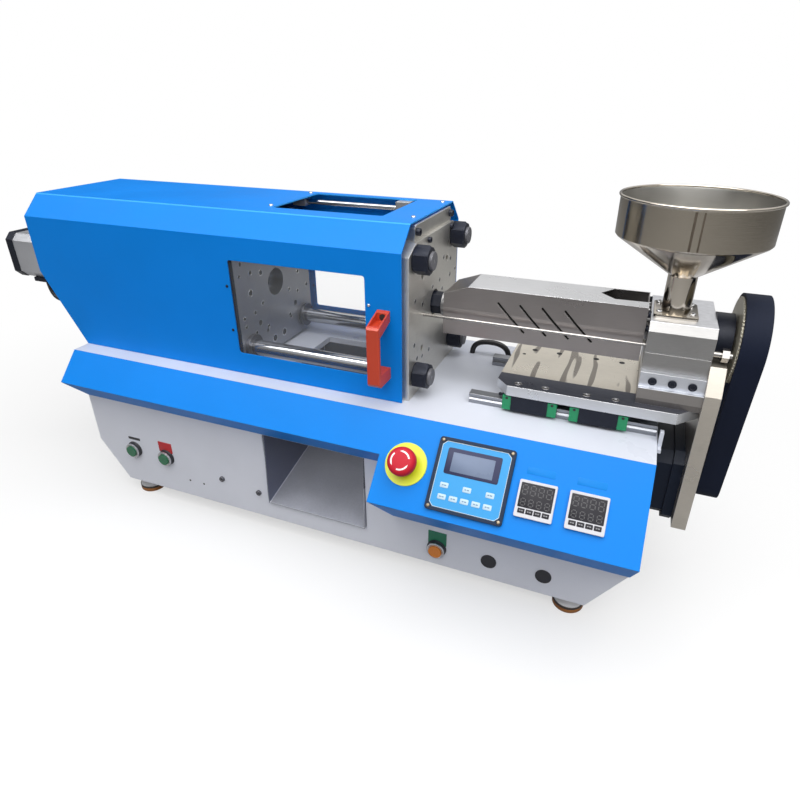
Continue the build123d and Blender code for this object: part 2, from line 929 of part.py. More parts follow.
save(moving_platen, "moving_platen")

with BuildPart() as platen_bushes:
    with BuildSketch(axis_plane(moving_back_x)):
        with Locations(*tie_points):
            Circle(bush_radius)
            Circle(tie_bar_radius + bush_gap, mode=Mode.SUBTRACT)
    extrude(amount=moving_platen_thickness)
    with BuildSketch(axis_plane(moving_face_x)):
        with Locations(*tie_points):
            Circle(bush_flange_radius)
            Circle(tie_bar_radius + bush_gap, mode=Mode.SUBTRACT)
    extrude(amount=bush_flange_thickness)
save(platen_bushes, "platen_bushes")

# Clamp tube with the gland that guides the ram
tube_length = clamp_gap - ram_flange_thickness - ram_exposed
tube_right_x = tail_right_x + tube_length
with BuildPart() as clamp_tube:
    with BuildSketch(axis_plane(tail_right_x)):
        Circle(tube_flange_radius)
        Circle(tube_inner_radius, mode=Mode.SUBTRACT)
    extrude(amount=tube_flange_thickness)
    with BuildSketch(axis_plane(tail_right_x)):
        Circle(tube_outer_radius)
        Circle(tube_inner_radius, mode=Mode.SUBTRACT)
    extrude(amount=tube_length)
    with BuildSketch(axis_plane(tube_right_x - gland_length)):
        Circle(tube_outer_radius)
        Circle(ram_radius + bush_gap, mode=Mode.SUBTRACT)
    extrude(amount=gland_length)
save(clamp_tube, "clamp_tube")

# Hollow clamp ram bolted to the moving platen, with the ball nut on its far end
ram_left_x = tail_right_x + ram_start
with BuildPart() as clamp_ram:
    with BuildSketch(axis_plane(ram_left_x)):
        Circle(ram_radius)
        Circle(ram_bore_radius, mode=Mode.SUBTRACT)
    extrude(amount=moving_back_x - ram_left_x)
    with BuildSketch(axis_plane(moving_back_x - ram_flange_thickness)):
        Circle(ram_flange_radius)
        Circle(ram_bore_radius, mode=Mode.SUBTRACT)
    extrude(amount=ram_flange_thickness)
save(clamp_ram, "clamp_ram")

with BuildPart() as ball_nut:
    with BuildSketch(axis_plane(ram_left_x - ball_nut_length)):
        Circle(ball_nut_radius)
        Circle(clamp_screw_radius + bush_gap, mode=Mode.SUBTRACT)
    extrude(amount=ball_nut_length)
save(ball_nut, "ball_nut")

# Ball screw, its bearing in the tail platen and the shaft coupling
coupling_left_x = motor_flange_x + coupling_end_gap
coupling_right_x = coupling_left_x + coupling_length
with BuildPart() as ball_screw:
    with BuildSketch(axis_plane(coupling_right_x)):
        Circle(clamp_screw_radius)
    extrude(amount=tube_right_x - clamp_screw_end_gap - coupling_right_x)
save(ball_screw, "ball_screw")

with BuildPart() as screw_bearing:
    with BuildSketch(axis_plane(tail_left_x)):
        Circle(bearing_radius)
        Circle(clamp_screw_radius + bush_gap, mode=Mode.SUBTRACT)
    extrude(amount=bearing_length)
save(screw_bearing, "screw_bearing")

motor_socket = motor_front_cap - motor_socket_room
with BuildPart() as motor_coupling:
    with BuildSketch(axis_plane(coupling_left_x)):
        Circle(coupling_radius)
    extrude(amount=coupling_length)
    with BuildSketch(axis_plane(motor_flange_x - motor_socket)):
        Circle(motor_shaft_radius)
    extrude(amount=motor_socket + coupling_end_gap)
save(motor_coupling, "motor_coupling")

# Bell housing that holds the clamp motor on the tail platen
with BuildPart() as motor_mount:
    with BuildSketch(axis_plane(motor_flange_x)):
        Circle(bell_outer_radius)
        Circle(bell_inner_radius, mode=Mode.SUBTRACT)
    extrude(amount=bell_length)
save(motor_mount, "motor_mount")


def motor_outline(side, corner):
    """Corner points of a square motor section with cut corners."""
    half = side / 2
    near = half - corner
    return [
        (-near, -half),
        (near, -half),
        (half, -near),
        (half, near),
        (near, half),
        (-near, half),
        (-half, near),
        (-half, -near),
    ]


motor_body_right_x = motor_flange_x - motor_front_cap
motor_body_left_x = motor_body_right_x - motor_body
motor_end_x = motor_body_left_x - motor_rear_cap
motor_low_z = axis_z - motor_side / 2
with BuildPart() as clamp_motor:
    with BuildSketch(axis_plane(motor_body_left_x)):
        Polygon(*motor_outline(motor_side, motor_corner), align=None)
    extrude(amount=motor_body)
save(clamp_motor, "clamp_motor")

with BuildPart() as clamp_motor_caps:
    with BuildSketch(axis_plane(motor_end_x)):
        Polygon(*motor_outline(motor_cap_side, motor_corner), align=None)
    extrude(amount=motor_rear_cap)
    with BuildSketch(axis_plane(motor_body_right_x)):
        Polygon(*motor_outline(motor_cap_side, motor_corner), align=None)
    extrude(amount=motor_front_cap)
    with BuildSketch(axis_plane(motor_body_right_x)):
        Circle(motor_shaft_radius + bush_gap)
    extrude(amount=motor_front_cap, mode=Mode.SUBTRACT)
    with BuildSketch(flat_plane(motor_low_z)):
        with Locations((motor_end_x + motor_lead_from_end, axis_y - motor_lead_side)):
            Rectangle(motor_box_length, motor_box_width)
    extrude(amount=-motor_box_height)
save(clamp_motor_caps, "clamp_motor_caps")

# Lead of the clamp motor and the heater lead behind the rail, held at both ends
motor_lead_x = motor_end_x + motor_lead_from_end
motor_lead_y = axis_y - motor_lead_side
motor_lead_top = motor_low_z - motor_box_height
with BuildPart() as leads:
    with BuildLine():
        FilletPolyline(
            (motor_lead_x, motor_lead_y, motor_lead_top),
            (motor_lead_x, motor_lead_y, motor_lead_top - motor_lead_drop),
            (motor_lead_x + motor_lead_run, motor_lead_y, deck_top + motor_lead_height),
            (tail_left_x, motor_lead_y, deck_top + motor_lead_height),
            radius=lead_bend,
        )
    with BuildSketch(flat_plane(motor_lead_top)):
        with Locations((motor_lead_x, motor_lead_y)):
            Circle(lead_radius)
    sweep()
    heater_lead_x = from_right(heater_lead_left_from_right)
    heater_lead_y = deck_front + heater_lead_setback
    with BuildLine():
        FilletPolyline(
            (heater_lead_x, heater_lead_y, deck_top),
            (heater_lead_x, heater_lead_y, deck_top + heater_lead_height),
            (heater_lead_x + heater_lead_length, heater_lead_y, deck_top + heater_lead_height),
            (heater_lead_x + heater_lead_length, heater_lead_y, deck_top),
            radius=lead_bend,
        )
    with BuildSketch(flat_plane(deck_top)):
        with Locations((heater_lead_x, heater_lead_y)):
            Circle(lead_radius)
    sweep()
save(leads, "leads")

# Sliding hood: folded cover open at both ends, with two side windows and a top hatch
hood_front = deck_front + hood_front_inset
hood_rear = hood_front + hood_depth
hood_right_x = fixed_face_x - hood_setback
hood_left_x = deck_left - hood_overhang
hood_length = hood_right_x - hood_left_x
hood_low_z = deck_top + hood_lift
hood_high_z = deck_top + hood_height
window_middle_x = hood_right_x - window_inset - window_width / 2
window_middle_z = deck_top + (window_low + window_high) / 2
window_height = window_high - window_low
with BuildPart() as hood:
    with BuildSketch(side_plane(hood_left_x)):
        Polygon(
            (hood_front, hood_low_z),
            (hood_rear, hood_low_z),
            (hood_rear, hood_high_z - hood_chamfer_z),
            (hood_rear - hood_chamfer_y, hood_high_z),
            (hood_front + hood_chamfer_y, hood_high_z),
            (hood_front, hood_high_z - hood_chamfer_z),
            align=None,
        )
    extrude(amount=hood_length)
    hood_ends = hood.faces().filter_by(Axis.X)
    hood_floor = hood.faces().sort_by(Axis.Z)[0]
    offset(amount=-sheet, openings=[*hood_ends, hood_floor], kind=Kind.INTERSECTION)
    with BuildSketch(front_plane(hood_front - overrun)):
        with Locations((window_middle_x, window_middle_z)):
            RectangleRounded(window_width, window_height, window_corner)
        Polygon(
            (hood_left_x - overrun, hood_low_z - overrun),
            (deck_left, hood_low_z - overrun),
            (deck_left, hood_low_z),
            (hood_left_x, deck_top + hood_slant_z),
            (hood_left_x - overrun, deck_top + hood_slant_z),
            align=None,
        )
    extrude(amount=-(hood_depth + 2 * overrun), mode=Mode.SUBTRACT)
    hatch_middle_x = hood_right_x - hatch_inset - hatch_width / 2
    hatch_middle_y = deck_front + hatch_setback + hatch_depth / 2
    with BuildSketch(flat_plane(hood_high_z + overrun)):
        with Locations((hatch_middle_x, hatch_middle_y)):
            RectangleRounded(hatch_width, hatch_depth, window_corner)
    extrude(amount=-(sheet + 2 * overrun), mode=Mode.SUBTRACT)
save(hood, "hood")

# Clear panes behind the two windows
with BuildPart() as hood_panes:
    for pane_y in (hood_front + sheet, hood_rear - sheet - pane_thickness):
        with BuildSketch(front_plane(pane_y)):
            with Locations((window_middle_x, window_middle_z)):
                Rectangle(window_width + 2 * pane_overlap, window_height + 2 * pane_overlap)
        extrude(amount=-pane_thickness)
save(hood_panes, "hood_panes")

# Slide blocks that hang the hood on its guide rods
slide_block_low = deck_top + guide_height - guide_rod_radius - slide_block_wall
slide_block_height = hood_high_z - sheet - slide_block_low
slide_block_points = [(y, slide_block_low + slide_block_height / 2 - axis_z) for y, z in guide_points]
with BuildPart() as hood_slide_blocks:
    for step in (0, 1):
        block_right_x = hood_right_x - slide_block_right_inset - step * slide_block_pitch
        with BuildSketch(axis_plane(block_right_x - slide_block_length)):
            with Locations(*slide_block_points):
                Rectangle(slide_block_width, slide_block_height)
            with Locations(*guide_points):
                Circle(guide_rod_radius + bush_gap, mode=Mode.SUBTRACT)
        extrude(amount=slide_block_length)
save(hood_slide_blocks, "hood_slide_blocks")

# Bow handle: slanted upper arm, thin upright grip, straight lower arm, and a screw pocket in each arm
handle_z = deck_top + handle_low
handle_top_z = deck_top + handle_high
handle_out_y = hood_front - handle_reach
handle_in_y = handle_out_y + handle_bar
with BuildPart() as hood_handle:
    with BuildSketch(side_plane(hood_right_x - handle_inset - handle_width / 2)):
        Polygon(
            (hood_front, handle_z),
            (hood_front, handle_z + handle_foot_low),
            (handle_in_y, handle_z + handle_foot_low + handle_bar / 2),
            (handle_in_y, handle_top_z - handle_shoulder - handle_foot_high),
            (hood_front, handle_top_z - handle_foot_high),
            (hood_front, handle_top_z),
            (handle_out_y + handle_bar / 2, handle_top_z - handle_shoulder),
            (handle_out_y, handle_top_z - handle_shoulder - handle_bar / 2),
            (handle_out_y, handle_z + handle_bar),
            (handle_out_y + handle_bar, handle_z),
            align=None,
        )
    extrude(amount=handle_width)
    grip_edges = hood_handle.edges().filter_by(Axis.Z).group_by(Axis.Y)[0]
    fillet(grip_edges, handle_edge)
    with BuildSketch(flat_plane(handle_top_z)):
        with Locations((hood_right_x - handle_inset, hood_front - handle_reach / 2)):
            Rectangle(handle_pocket_width, handle_pocket_length)
    extrude(amount=-(handle_pocket_depth + handle_shoulder / 2), mode=Mode.SUBTRACT)
    with BuildSketch(flat_plane(handle_z)):
        with Locations((hood_right_x - handle_inset, hood_front - handle_reach / 2)):
            Rectangle(handle_pocket_width, handle_pocket_length)
    extrude(amount=handle_pocket_depth, mode=Mode.SUBTRACT)
save(hood_handle, "hood_handle")

# Linear rails with grooved sides
rail_low_y = rail_width / 2
rail_neck_y = rail_low_y - rail_groove
rail_start_x = from_right(rail_right_inset) - rail_length
with BuildPart() as linear_rails:
    for side in (-1, 1):
        with BuildSketch(
            Plane(
                origin=(rail_start_x, axis_y + side * rail_spacing / 2, deck_top),
                x_dir=(0, 1, 0),
                z_dir=(1, 0, 0),
            )
        ):
            Polygon(
                (-rail_low_y, 0),
                (rail_low_y, 0),
                (rail_low_y, rail_groove_low),
                (rail_neck_y, (rail_groove_low + rail_groove_high) / 2),
                (rail_low_y, rail_groove_high),
                (rail_low_y, rail_height),
                (-rail_low_y, rail_height),
                (-rail_low_y, rail_groove_high),
                (-rail_neck_y, (rail_groove_low + rail_groove_high) / 2),
                (-rail_low_y, rail_groove_low),
                align=None,
            )
        extrude(amount=rail_length)
save(linear_rails, "linear_rails")


def block_section(width, low, high):
    """Inverted channel of a bearing block round its rail, in the plane of the sketch."""
    half = width / 2
    slot = rail_width / 2 + slide_gap
    slot_top = rail_height + slide_gap
    return [
        (-half, low),
        (-slot, low),
        (-slot, slot_top),
        (slot, slot_top),
        (slot, low),
        (half, low),
        (half, high),
        (-half, high),
    ]


block_stations = [
    (from_right(block_middle_from_right) + step * block_pitch / 2, axis_y + side * rail_spacing / 2)
    for step in (-1, 1)
    for side in (-1, 1)
]
with BuildPart() as bearing_blocks:
    for block_x, block_y in block_stations:
        block_start = block_x - block_body_length / 2
        with BuildSketch(Plane(origin=(block_start, block_y, deck_top), x_dir=(0, 1, 0), z_dir=(1, 0, 0))):
            Polygon(*block_section(block_width, block_low, block_high), align=None)
        extrude(amount=block_body_length)
save(bearing_blocks, "bearing_blocks")

with BuildPart() as block_end_caps:
    for block_x, block_y in block_stations:
        block_half = block_body_length / 2
        for cap_start in (block_x - block_half - block_cap_length, block_x + block_half):
            with BuildSketch(Plane(origin=(cap_start, block_y, deck_top), x_dir=(0, 1, 0), z_dir=(1, 0, 0))):
                Polygon(
                    *block_section(block_width - 2 * block_cap_inset, block_low, block_high - block_cap_drop),
                    align=None,
                )
            extrude(amount=block_cap_length)
save(block_end_caps, "block_end_caps")

# Carriage plate on the bearing blocks, corners cut at the front and the back
carriage_left_x = from_right(carriage_left_from_right)
carriage_half = carriage_width / 2
with BuildPart() as carriage_plate:
    with BuildSketch(flat_plane(carriage_low_z)):
        Polygon(
            (carriage_left_x, axis_y + carriage_left_corner_y - carriage_half),
            (carriage_left_x + carriage_left_corner_x, axis_y - carriage_half),
            (carriage_right_x - carriage_right_corner_x, axis_y - carriage_half),
            (carriage_right_x, axis_y + carriage_right_corner_y - carriage_half),
            (carriage_right_x, axis_y - carriage_right_corner_y + carriage_half),
            (carriage_right_x - carriage_right_corner_x, axis_y + carriage_half),
            (carriage_left_x + carriage_left_corner_x, axis_y + carriage_half),
            (carriage_left_x, axis_y - carriage_left_corner_y + carriage_half),
            align=None,
        )
    extrude(amount=carriage_thickness)
save(carriage_plate, "carriage_plate")

# Drive plate on the carriage's end, with a saddle for the bearing housing and the motor pilot hole
motor_axis = (0, -axis_height - motor_axis_drop)
with BuildPart() as drive_plate:
    with BuildSketch(axis_plane(carriage_right_x)):
        Polygon(
            (-drive_plate_width / 2, -drive_plate_low - axis_height),
            (drive_plate_width / 2, -drive_plate_low - axis_height),
            (drive_plate_width / 2, drive_plate_shoulder - axis_height),
            (drive_plate_top_width / 2, drive_plate_top - axis_height),
            (-drive_plate_top_width / 2, drive_plate_top - axis_height),
            (-drive_plate_width / 2, drive_plate_shoulder - axis_height),
            align=None,
        )
        Circle(housing_radius, mode=Mode.SUBTRACT)
        with Locations(motor_axis):
            Circle(feed_shaft_radius + slide_gap, mode=Mode.SUBTRACT)
    extrude(amount=drive_plate_thickness)
save(drive_plate, "drive_plate")

# Riser and feed block that hold the barrel and carry the hopper
riser_top_z = carriage_top_z + riser_height
feed_length = carriage_right_x - feed_left_x
stop_points = [(side * stop_rod_spacing / 2, -stop_rod_drop) for side in (-1, 1)]
with BuildPart() as feed_riser:
    with BuildSketch(axis_plane(feed_left_x)):
        with Locations((0, (carriage_top_z + riser_top_z) / 2 - axis_z)):
            Rectangle(riser_width, riser_height)
        with Locations((0, carriage_top_z + riser_foot_height / 2 - axis_z)):
            Rectangle(riser_foot_width, riser_foot_height)
    extrude(amount=feed_length)
save(feed_riser, "feed_riser")

hopper_x = from_right(hopper_from_right)
feed_half = feed_width / 2
post_points = [(side * cover_post_spread / 2, cover_post_lift) for side in (-1, 1)]
with BuildPart() as feed_block:
    with BuildSketch(axis_plane(feed_left_x)):
        feed_high = feed_top - axis_height
        line_low = feed_line_height - axis_height
        line_high = line_low + feed_line_width
        Polygon(
            (-feed_half, riser_top_z - axis_z),
            (feed_half, riser_top_z - axis_z),
            (feed_half, feed_high),
            (feed_chamfer_y - feed_half, feed_high),
            (-feed_half, feed_high - feed_chamfer_z),
            (-feed_half, line_high),
            (feed_line_depth - feed_half, line_high),
            (feed_line_depth - feed_half, line_low),
            (-feed_half, line_low),
            align=None,
        )
        Circle(screw_radius + slide_gap, mode=Mode.SUBTRACT)
        with Locations(*stop_points):
            Circle(stop_rod_radius + slide_gap, mode=Mode.SUBTRACT)
    extrude(amount=feed_length)
    with BuildSketch(axis_plane(feed_left_x)):
        with Locations(*post_points):
            Circle(cover_post_radius)
    extrude(amount=-cover_gap)
    with BuildSketch(flat_plane(deck_top + feed_top)):
        with Locations((hopper_x, axis_y)):
            Circle(throat_radius)
    extrude(amount=axis_height - feed_top, mode=Mode.SUBTRACT)
save(feed_block, "feed_block")

# Hopper: spun bowl with a rolled rim, cone, neck and square flange in one
with BuildPart() as hopper:
    with BuildSketch(Plane(origin=(hopper_x, axis_y, deck_top), x_dir=(1, 0, 0), z_dir=(0, -1, 0))):
        neck_inner = hopper_neck_radius - hopper_sheet
        wall_inner = hopper_radius - hopper_sheet
        cone_low = feed_top + hopper_neck_height
        wall_low = cone_low + hopper_cone_height
        rim_low = wall_low + hopper_wall_height - hopper_rim_bead
        Polygon(
            (neck_inner, feed_top),
            (hopper_neck_radius, feed_top),
            (hopper_neck_radius, cone_low),
            (hopper_radius, wall_low),
            (hopper_radius, rim_low),
            (wall_inner, rim_low),
            (wall_inner, wall_low),
            (neck_inner, cone_low),
            align=None,
        )
        with Locations((hopper_radius, rim_low)):
            Circle(hopper_rim_bead)
    revolve(axis=Axis((hopper_x, axis_y, deck_top), (0, 0, 1)))
    with BuildSketch(flat_plane(deck_top + feed_top)):
        with Locations((hopper_x, axis_y)):
            Rectangle(hopper_flange_side, hopper_flange_side)
            Circle(neck_inner, mode=Mode.SUBTRACT)
    extrude(amount=hopper_flange_thickness)
save(hopper, "hopper")

# Barrel, nozzle and band heaters
nozzle_left_x = fixed_face_x - nozzle_entry
barrel_left_x = nozzle_left_x + nozzle_hex_length
with BuildPart() as barrel:
    with BuildSketch(axis_plane(barrel_left_x)):
        Circle(barrel_radius)
        Circle(screw_radius + slide_gap, mode=Mode.SUBTRACT)
    extrude(amount=feed_left_x - barrel_left_x)
save(barrel, "barrel")

with BuildPart() as nozzle:
    with BuildSketch(axis_plane(nozzle_left_x)):
        RegularPolygon(nozzle_flats / 2, side_count=6, major_radius=False)
    extrude(amount=nozzle_hex_length)
    with BuildSketch(axis_plane(nozzle_left_x)):
        Circle(nozzle_neck_radius)
    with BuildSketch(axis_plane(nozzle_left_x - nozzle_reach)):
        Circle(nozzle_tip_radius)
    loft()
    with BuildSketch(axis_plane(nozzle_left_x - nozzle_reach)):
        Circle(nozzle_bore_radius)
    extrude(amount=nozzle_reach + nozzle_hex_length, mode=Mode.SUBTRACT)
save(nozzle, "nozzle")

with BuildPart() as heater_bands:
    for step in range(band_count):
        with BuildSketch(axis_plane(barrel_left_x + band_first_gap + step * band_pitch)):
            Circle(barrel_radius + band_thickness)
            Circle(barrel_radius, mode=Mode.SUBTRACT)
        extrude(amount=band_width)
save(heater_bands, "heater_bands")

# Heater cover: folded sides, hipped nozzle end, slanted vent slots and a cut back corner
cover_left_x = from_right(cover_left_from_right)
cover_right_x = feed_left_x - cover_gap
cover_length = cover_right_x - cover_left_x
top_half = cover_top_width / 2
fold_half = cover_fold_width / 2
with BuildPart() as heater_cover:
    with BuildSketch(axis_plane(cover_left_x)):
        Polygon(
            (-top_half, -cover_low),
            (top_half, -cover_low),
            (fold_half, cover_fold_height),
            (top_half, cover_top),
            (-top_half, cover_top),
            (-fold_half, cover_fold_height),
            align=None,
        )
    extrude(amount=cover_length)
    with BuildSketch(front_plane(axis_y - cover_fold_width)):
        Polygon(
            (cover_left_x, axis_z + cover_top - cover_hip_drop),
            (cover_left_x + cover_hip_length, axis_z + cover_top),
            (cover_left_x, axis_z + cover_top),
            align=None,
        )
    extrude(amount=-2 * cover_fold_width, mode=Mode.SUBTRACT)
    cover_bottom = heater_cover.faces().sort_by(Axis.Z)[0]
    offset(amount=-thin_sheet, openings=cover_bottom, kind=Kind.INTERSECTION)
    with BuildSketch(axis_plane(cover_left_x - overrun)):
        Circle(barrel_radius + cover_barrel_gap)
        with Locations((0, -cover_low / 2)):
            Rectangle(2 * (barrel_radius + cover_barrel_gap), cover_low)
    extrude(amount=cover_length + 2 * overrun, mode=Mode.SUBTRACT)
    with BuildSketch(front_plane(axis_y)):
        for step in range(cover_slot_count):
            slot_x = cover_left_x + cover_slot_first + step * cover_slot_pitch
            with Locations((slot_x, axis_z + cover_slot_lift)):
                SlotOverall(cover_slot_length, cover_slot_width, rotation=cover_slot_angle)
    extrude(amount=cover_fold_width, mode=Mode.SUBTRACT)
    with BuildSketch(flat_plane(axis_z + cover_top + overrun)):
        Polygon(
            (cover_right_x + overrun, axis_y - cover_notch_front),
            (cover_right_x, axis_y - cover_notch_front),
            (cover_right_x - cover_notch_short, axis_y - cover_notch_waist),
            (cover_right_x - cover_notch_long, axis_y + cover_notch_tip),
            (cover_right_x - cover_notch_rear, axis_y + top_half - thin_sheet),
            (cover_right_x + overrun, axis_y + top_half - thin_sheet),
            align=None,
        )
    extrude(amount=-(thin_sheet + overrun), mode=Mode.SUBTRACT)
save(heater_cover, "heater_cover")

# Stop rods from the fixed platen through the feed block, each with a nut
stop_nut_x = carriage_right_x + carriage_travel + stop_gap
stop_step_x = feed_left_x + stop_step_depth
with BuildPart() as stop_rods:
    with BuildSketch(axis_plane(fixed_face_x)):
        with Locations(*stop_points):
            Circle(stop_shank_radius)
    extrude(amount=stop_step_x - fixed_face_x)
    with BuildSketch(axis_plane(stop_step_x)):
        with Locations(*stop_points):
            Circle(stop_rod_radius)
    extrude(amount=stop_nut_x + stop_nut_height + stop_rod_tail - stop_step_x)
    with BuildSketch(axis_plane(stop_nut_x)):
        with Locations(*stop_points):
            RegularPolygon(stop_nut_flats / 2, side_count=6, major_radius=False)
    extrude(amount=stop_nut_height)
save(stop_rods, "stop_rods")

# Bearing housing of the feed screw
with BuildPart() as bearing_housing:
    with BuildSketch(axis_plane(carriage_right_x)):
        Circle(housing_radius)
        Circle(screw_shaft_radius + bush_gap, mode=Mode.SUBTRACT)
    extrude(amount=housing_length)
save(bearing_housing, "bearing_housing")

# Feed screw with its shaft
with BuildPart() as feed_screw:
    screw_left_x = barrel_left_x + screw_end_gap
    with BuildSketch(axis_plane(screw_left_x + screw_tip_length)):
        Circle(screw_radius)
    with BuildSketch(axis_plane(screw_left_x)):
        Circle(screw_tip_radius)
    loft()
    with BuildSketch(axis_plane(screw_left_x + screw_tip_length)):
        Circle(screw_radius)
    extrude(amount=carriage_right_x - screw_left_x - screw_tip_length)
    with BuildSketch(axis_plane(carriage_right_x)):
        Circle(screw_shaft_radius)
    extrude(amount=belt_left_x + belt_width - pulley_inset - carriage_right_x)
save(feed_screw, "feed_screw")


def pitch_radius(teeth):
    """Tip radius of a belt pulley with the given number of teeth."""
    return teeth * tooth_pitch / (2 * pi) - pitch_line_drop


def tooth_points(teeth):
    """Outline of a toothed pulley as four points for each tooth."""
    tip = pitch_radius(teeth)
    root = tip - tooth_depth
    step = 2 * pi / teeth
    corners = []
    for index in range(teeth):
        middle = index * step
        for radius, share in (
            (root, -tooth_root_share),
            (tip, -tooth_tip_share),
            (tip, tooth_tip_share),
            (root, tooth_root_share),
        ):
            corners.append((radius * cos(middle + share * step), radius * sin(middle + share * step)))
    return corners


# Toothed pulleys: the large one on the feed screw is dished, the small one carries the motor shaft
pulley_left_x = belt_left_x - pulley_lead
pulley_width = belt_width + pulley_lead - pulley_inset
with BuildPart() as large_pulley:
    with BuildSketch(axis_plane(pulley_left_x)):
        Polygon(*tooth_points(large_teeth), align=None)
        Circle(screw_shaft_radius, mode=Mode.SUBTRACT)
    extrude(amount=pulley_width)
    with BuildSketch(axis_plane(pulley_left_x + pulley_width)):
        Circle(pitch_radius(large_teeth) - pulley_dish_rim)
        Circle(pulley_hub_radius, mode=Mode.SUBTRACT)
    extrude(amount=-pulley_dish_depth, mode=Mode.SUBTRACT)
save(large_pulley, "large_pulley")

with BuildPart() as small_pulley:
    with BuildSketch(axis_plane(pulley_left_x)):
        with Locations(motor_axis):
            Polygon(*tooth_points(small_teeth), align=None)
    extrude(amount=pulley_width)
    with BuildSketch(axis_plane(pulley_left_x)):
        with Locations(motor_axis):
            Circle(feed_shaft_radius)
    extrude(amount=carriage_right_x - feed_motor_socket - pulley_left_x)
save(small_pulley, "small_pulley")

# Timing belt round both pulleys
belt_inner_large = pitch_radius(large_teeth) + slide_gap
belt_inner_small = pitch_radius(small_teeth) + slide_gap
with BuildPart() as drive_belt:
    with BuildSketch(axis_plane(belt_left_x)):
        Circle(belt_inner_large + belt_thickness)
        with Locations(motor_axis):
            Circle(belt_inner_small + belt_thickness)
        make_hull()
    extrude(amount=belt_width)
    with BuildSketch(axis_plane(belt_left_x)):
        Circle(belt_inner_large)
        with Locations(motor_axis):
            Circle(belt_inner_small)
        make_hull()
    extrude(amount=belt_width, mode=Mode.SUBTRACT)
save(drive_belt, "drive_belt")

# Feed motor behind the drive plate
with BuildPart() as injection_motor:
    with BuildSketch(axis_plane(carriage_right_x)):
        with Locations(motor_axis):
            Polygon(*motor_outline(feed_motor_flange_side, feed_motor_corner), align=None)
    extrude(amount=-feed_motor_flange)
    with BuildSketch(axis_plane(carriage_right_x - feed_motor_flange)):
        with Locations(motor_axis):
            Polygon(*motor_outline(feed_motor_side, feed_motor_corner), align=None)
    extrude(amount=-feed_motor_length)
    with BuildSketch(axis_plane(carriage_right_x)):
        with Locations(motor_axis):
            Circle(feed_shaft_radius + bush_gap)
    extrude(amount=-(feed_motor_socket + feed_shaft_room), mode=Mode.SUBTRACT)
save(injection_motor, "injection_motor")
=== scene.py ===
import math

import bpy
import bmesh
import numpy as np
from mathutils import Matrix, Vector


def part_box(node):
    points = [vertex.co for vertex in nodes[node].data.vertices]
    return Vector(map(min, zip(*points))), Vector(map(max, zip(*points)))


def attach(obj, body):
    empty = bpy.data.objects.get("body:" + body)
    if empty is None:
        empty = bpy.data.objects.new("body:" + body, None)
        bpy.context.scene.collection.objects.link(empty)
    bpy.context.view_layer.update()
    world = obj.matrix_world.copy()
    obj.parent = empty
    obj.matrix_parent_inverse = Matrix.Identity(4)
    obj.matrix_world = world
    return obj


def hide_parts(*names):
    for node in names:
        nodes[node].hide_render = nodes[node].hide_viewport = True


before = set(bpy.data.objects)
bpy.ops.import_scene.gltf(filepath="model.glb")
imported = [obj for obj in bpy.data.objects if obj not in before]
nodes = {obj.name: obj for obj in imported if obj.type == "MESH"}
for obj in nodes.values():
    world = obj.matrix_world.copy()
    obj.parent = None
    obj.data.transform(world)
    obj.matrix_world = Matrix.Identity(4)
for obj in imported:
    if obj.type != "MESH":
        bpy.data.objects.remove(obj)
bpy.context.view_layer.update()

# Places are given in millimetres from the deck's right front top corner
deck_low, deck_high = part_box("deck_plate")
DECK_CORNER = np.array([deck_high.x, deck_low.y, deck_high.z])
AXIS_Y, AXIS_Z = 148.0, 120.0
FIXED_FACE, MOVING_FACE, TAIL_FACE = -344, -630, -954
TIE_RIGHT_END, TIE_LEFT_END = -317, -981
HOOD_FRONT, HOOD_REAR, HOOD_TOP = 30, 282, 254
CARRIAGE_TOP = 43
HOPPER_X = -6.5
BASE_FRONT = 3
FLOOR = -297

# Places on the console are given along the machine and down its slope
PANEL_SLOPE = math.radians(47)
DISPLAY_X, DISPLAY_DOWN = -221, 69
FILM_FACE = 3.8
CONTROLLERS = (-133, -69.5)
DIGIT_FACE = 5.35
ESTOP_X, ESTOP_DOWN = -314, 67.5

CORNERS = [(a, b) for a in (-1, 1) for b in (-1, 1)]
OPEN_ENDS = (False, False)
POLE_RADIUS = 0.0005
SCREW_POINTS = 24
HOPPER_POINTS = 192
WELD_REACH = 2e-6


def spot(x, y, z):
    """Deck corner plus the offset in millimetres, in metres."""
    return DECK_CORNER + np.array([x, y, z], float) / 1000


# ---- surfaces


def ring(count):
    """Angles of a closed ring, evenly spread."""
    return np.linspace(0, 2 * math.pi, count, endpoint=False)


def around(radius, angle):
    """Outline points: the direction of each angle times the radius, one for all or one for each."""
    return (radius * np.stack([np.cos(angle), np.sin(angle)])).T


def hexagon_radius(half_width, angle):
    """Radius of a hexagon: half its width across flats over the cosine of the angle off the nearest flat."""
    return half_width / np.cos((angle + math.pi / 6) % (math.pi / 3) - math.pi / 6)


def rounded_ring(width, height, radius, arc=6):
    """Outline of a rectangle whose corners are quarter circles: corner centre plus radius times the direction."""
    radius = min(radius, width / 2, height / 2)
    turn = np.linspace(0, math.pi / 2, arc)
    angle = (turn[None, :] + np.arange(4)[:, None] * math.pi / 2).ravel()
    side = np.repeat(np.array([[1, 1], [-1, 1], [-1, -1], [1, -1]], float), arc, axis=0)
    middle = side * np.array([width / 2 - radius, height / 2 - radius])
    return middle + around(radius, angle)


def frame_of(origin, along, across):
    """Local axes: along is the first axis, across the second, and the third is their cross product."""
    along = np.array(along, float)
    across = np.array(across, float)
    return np.asarray(origin, float), np.stack([along, across, np.cross(along, across)])


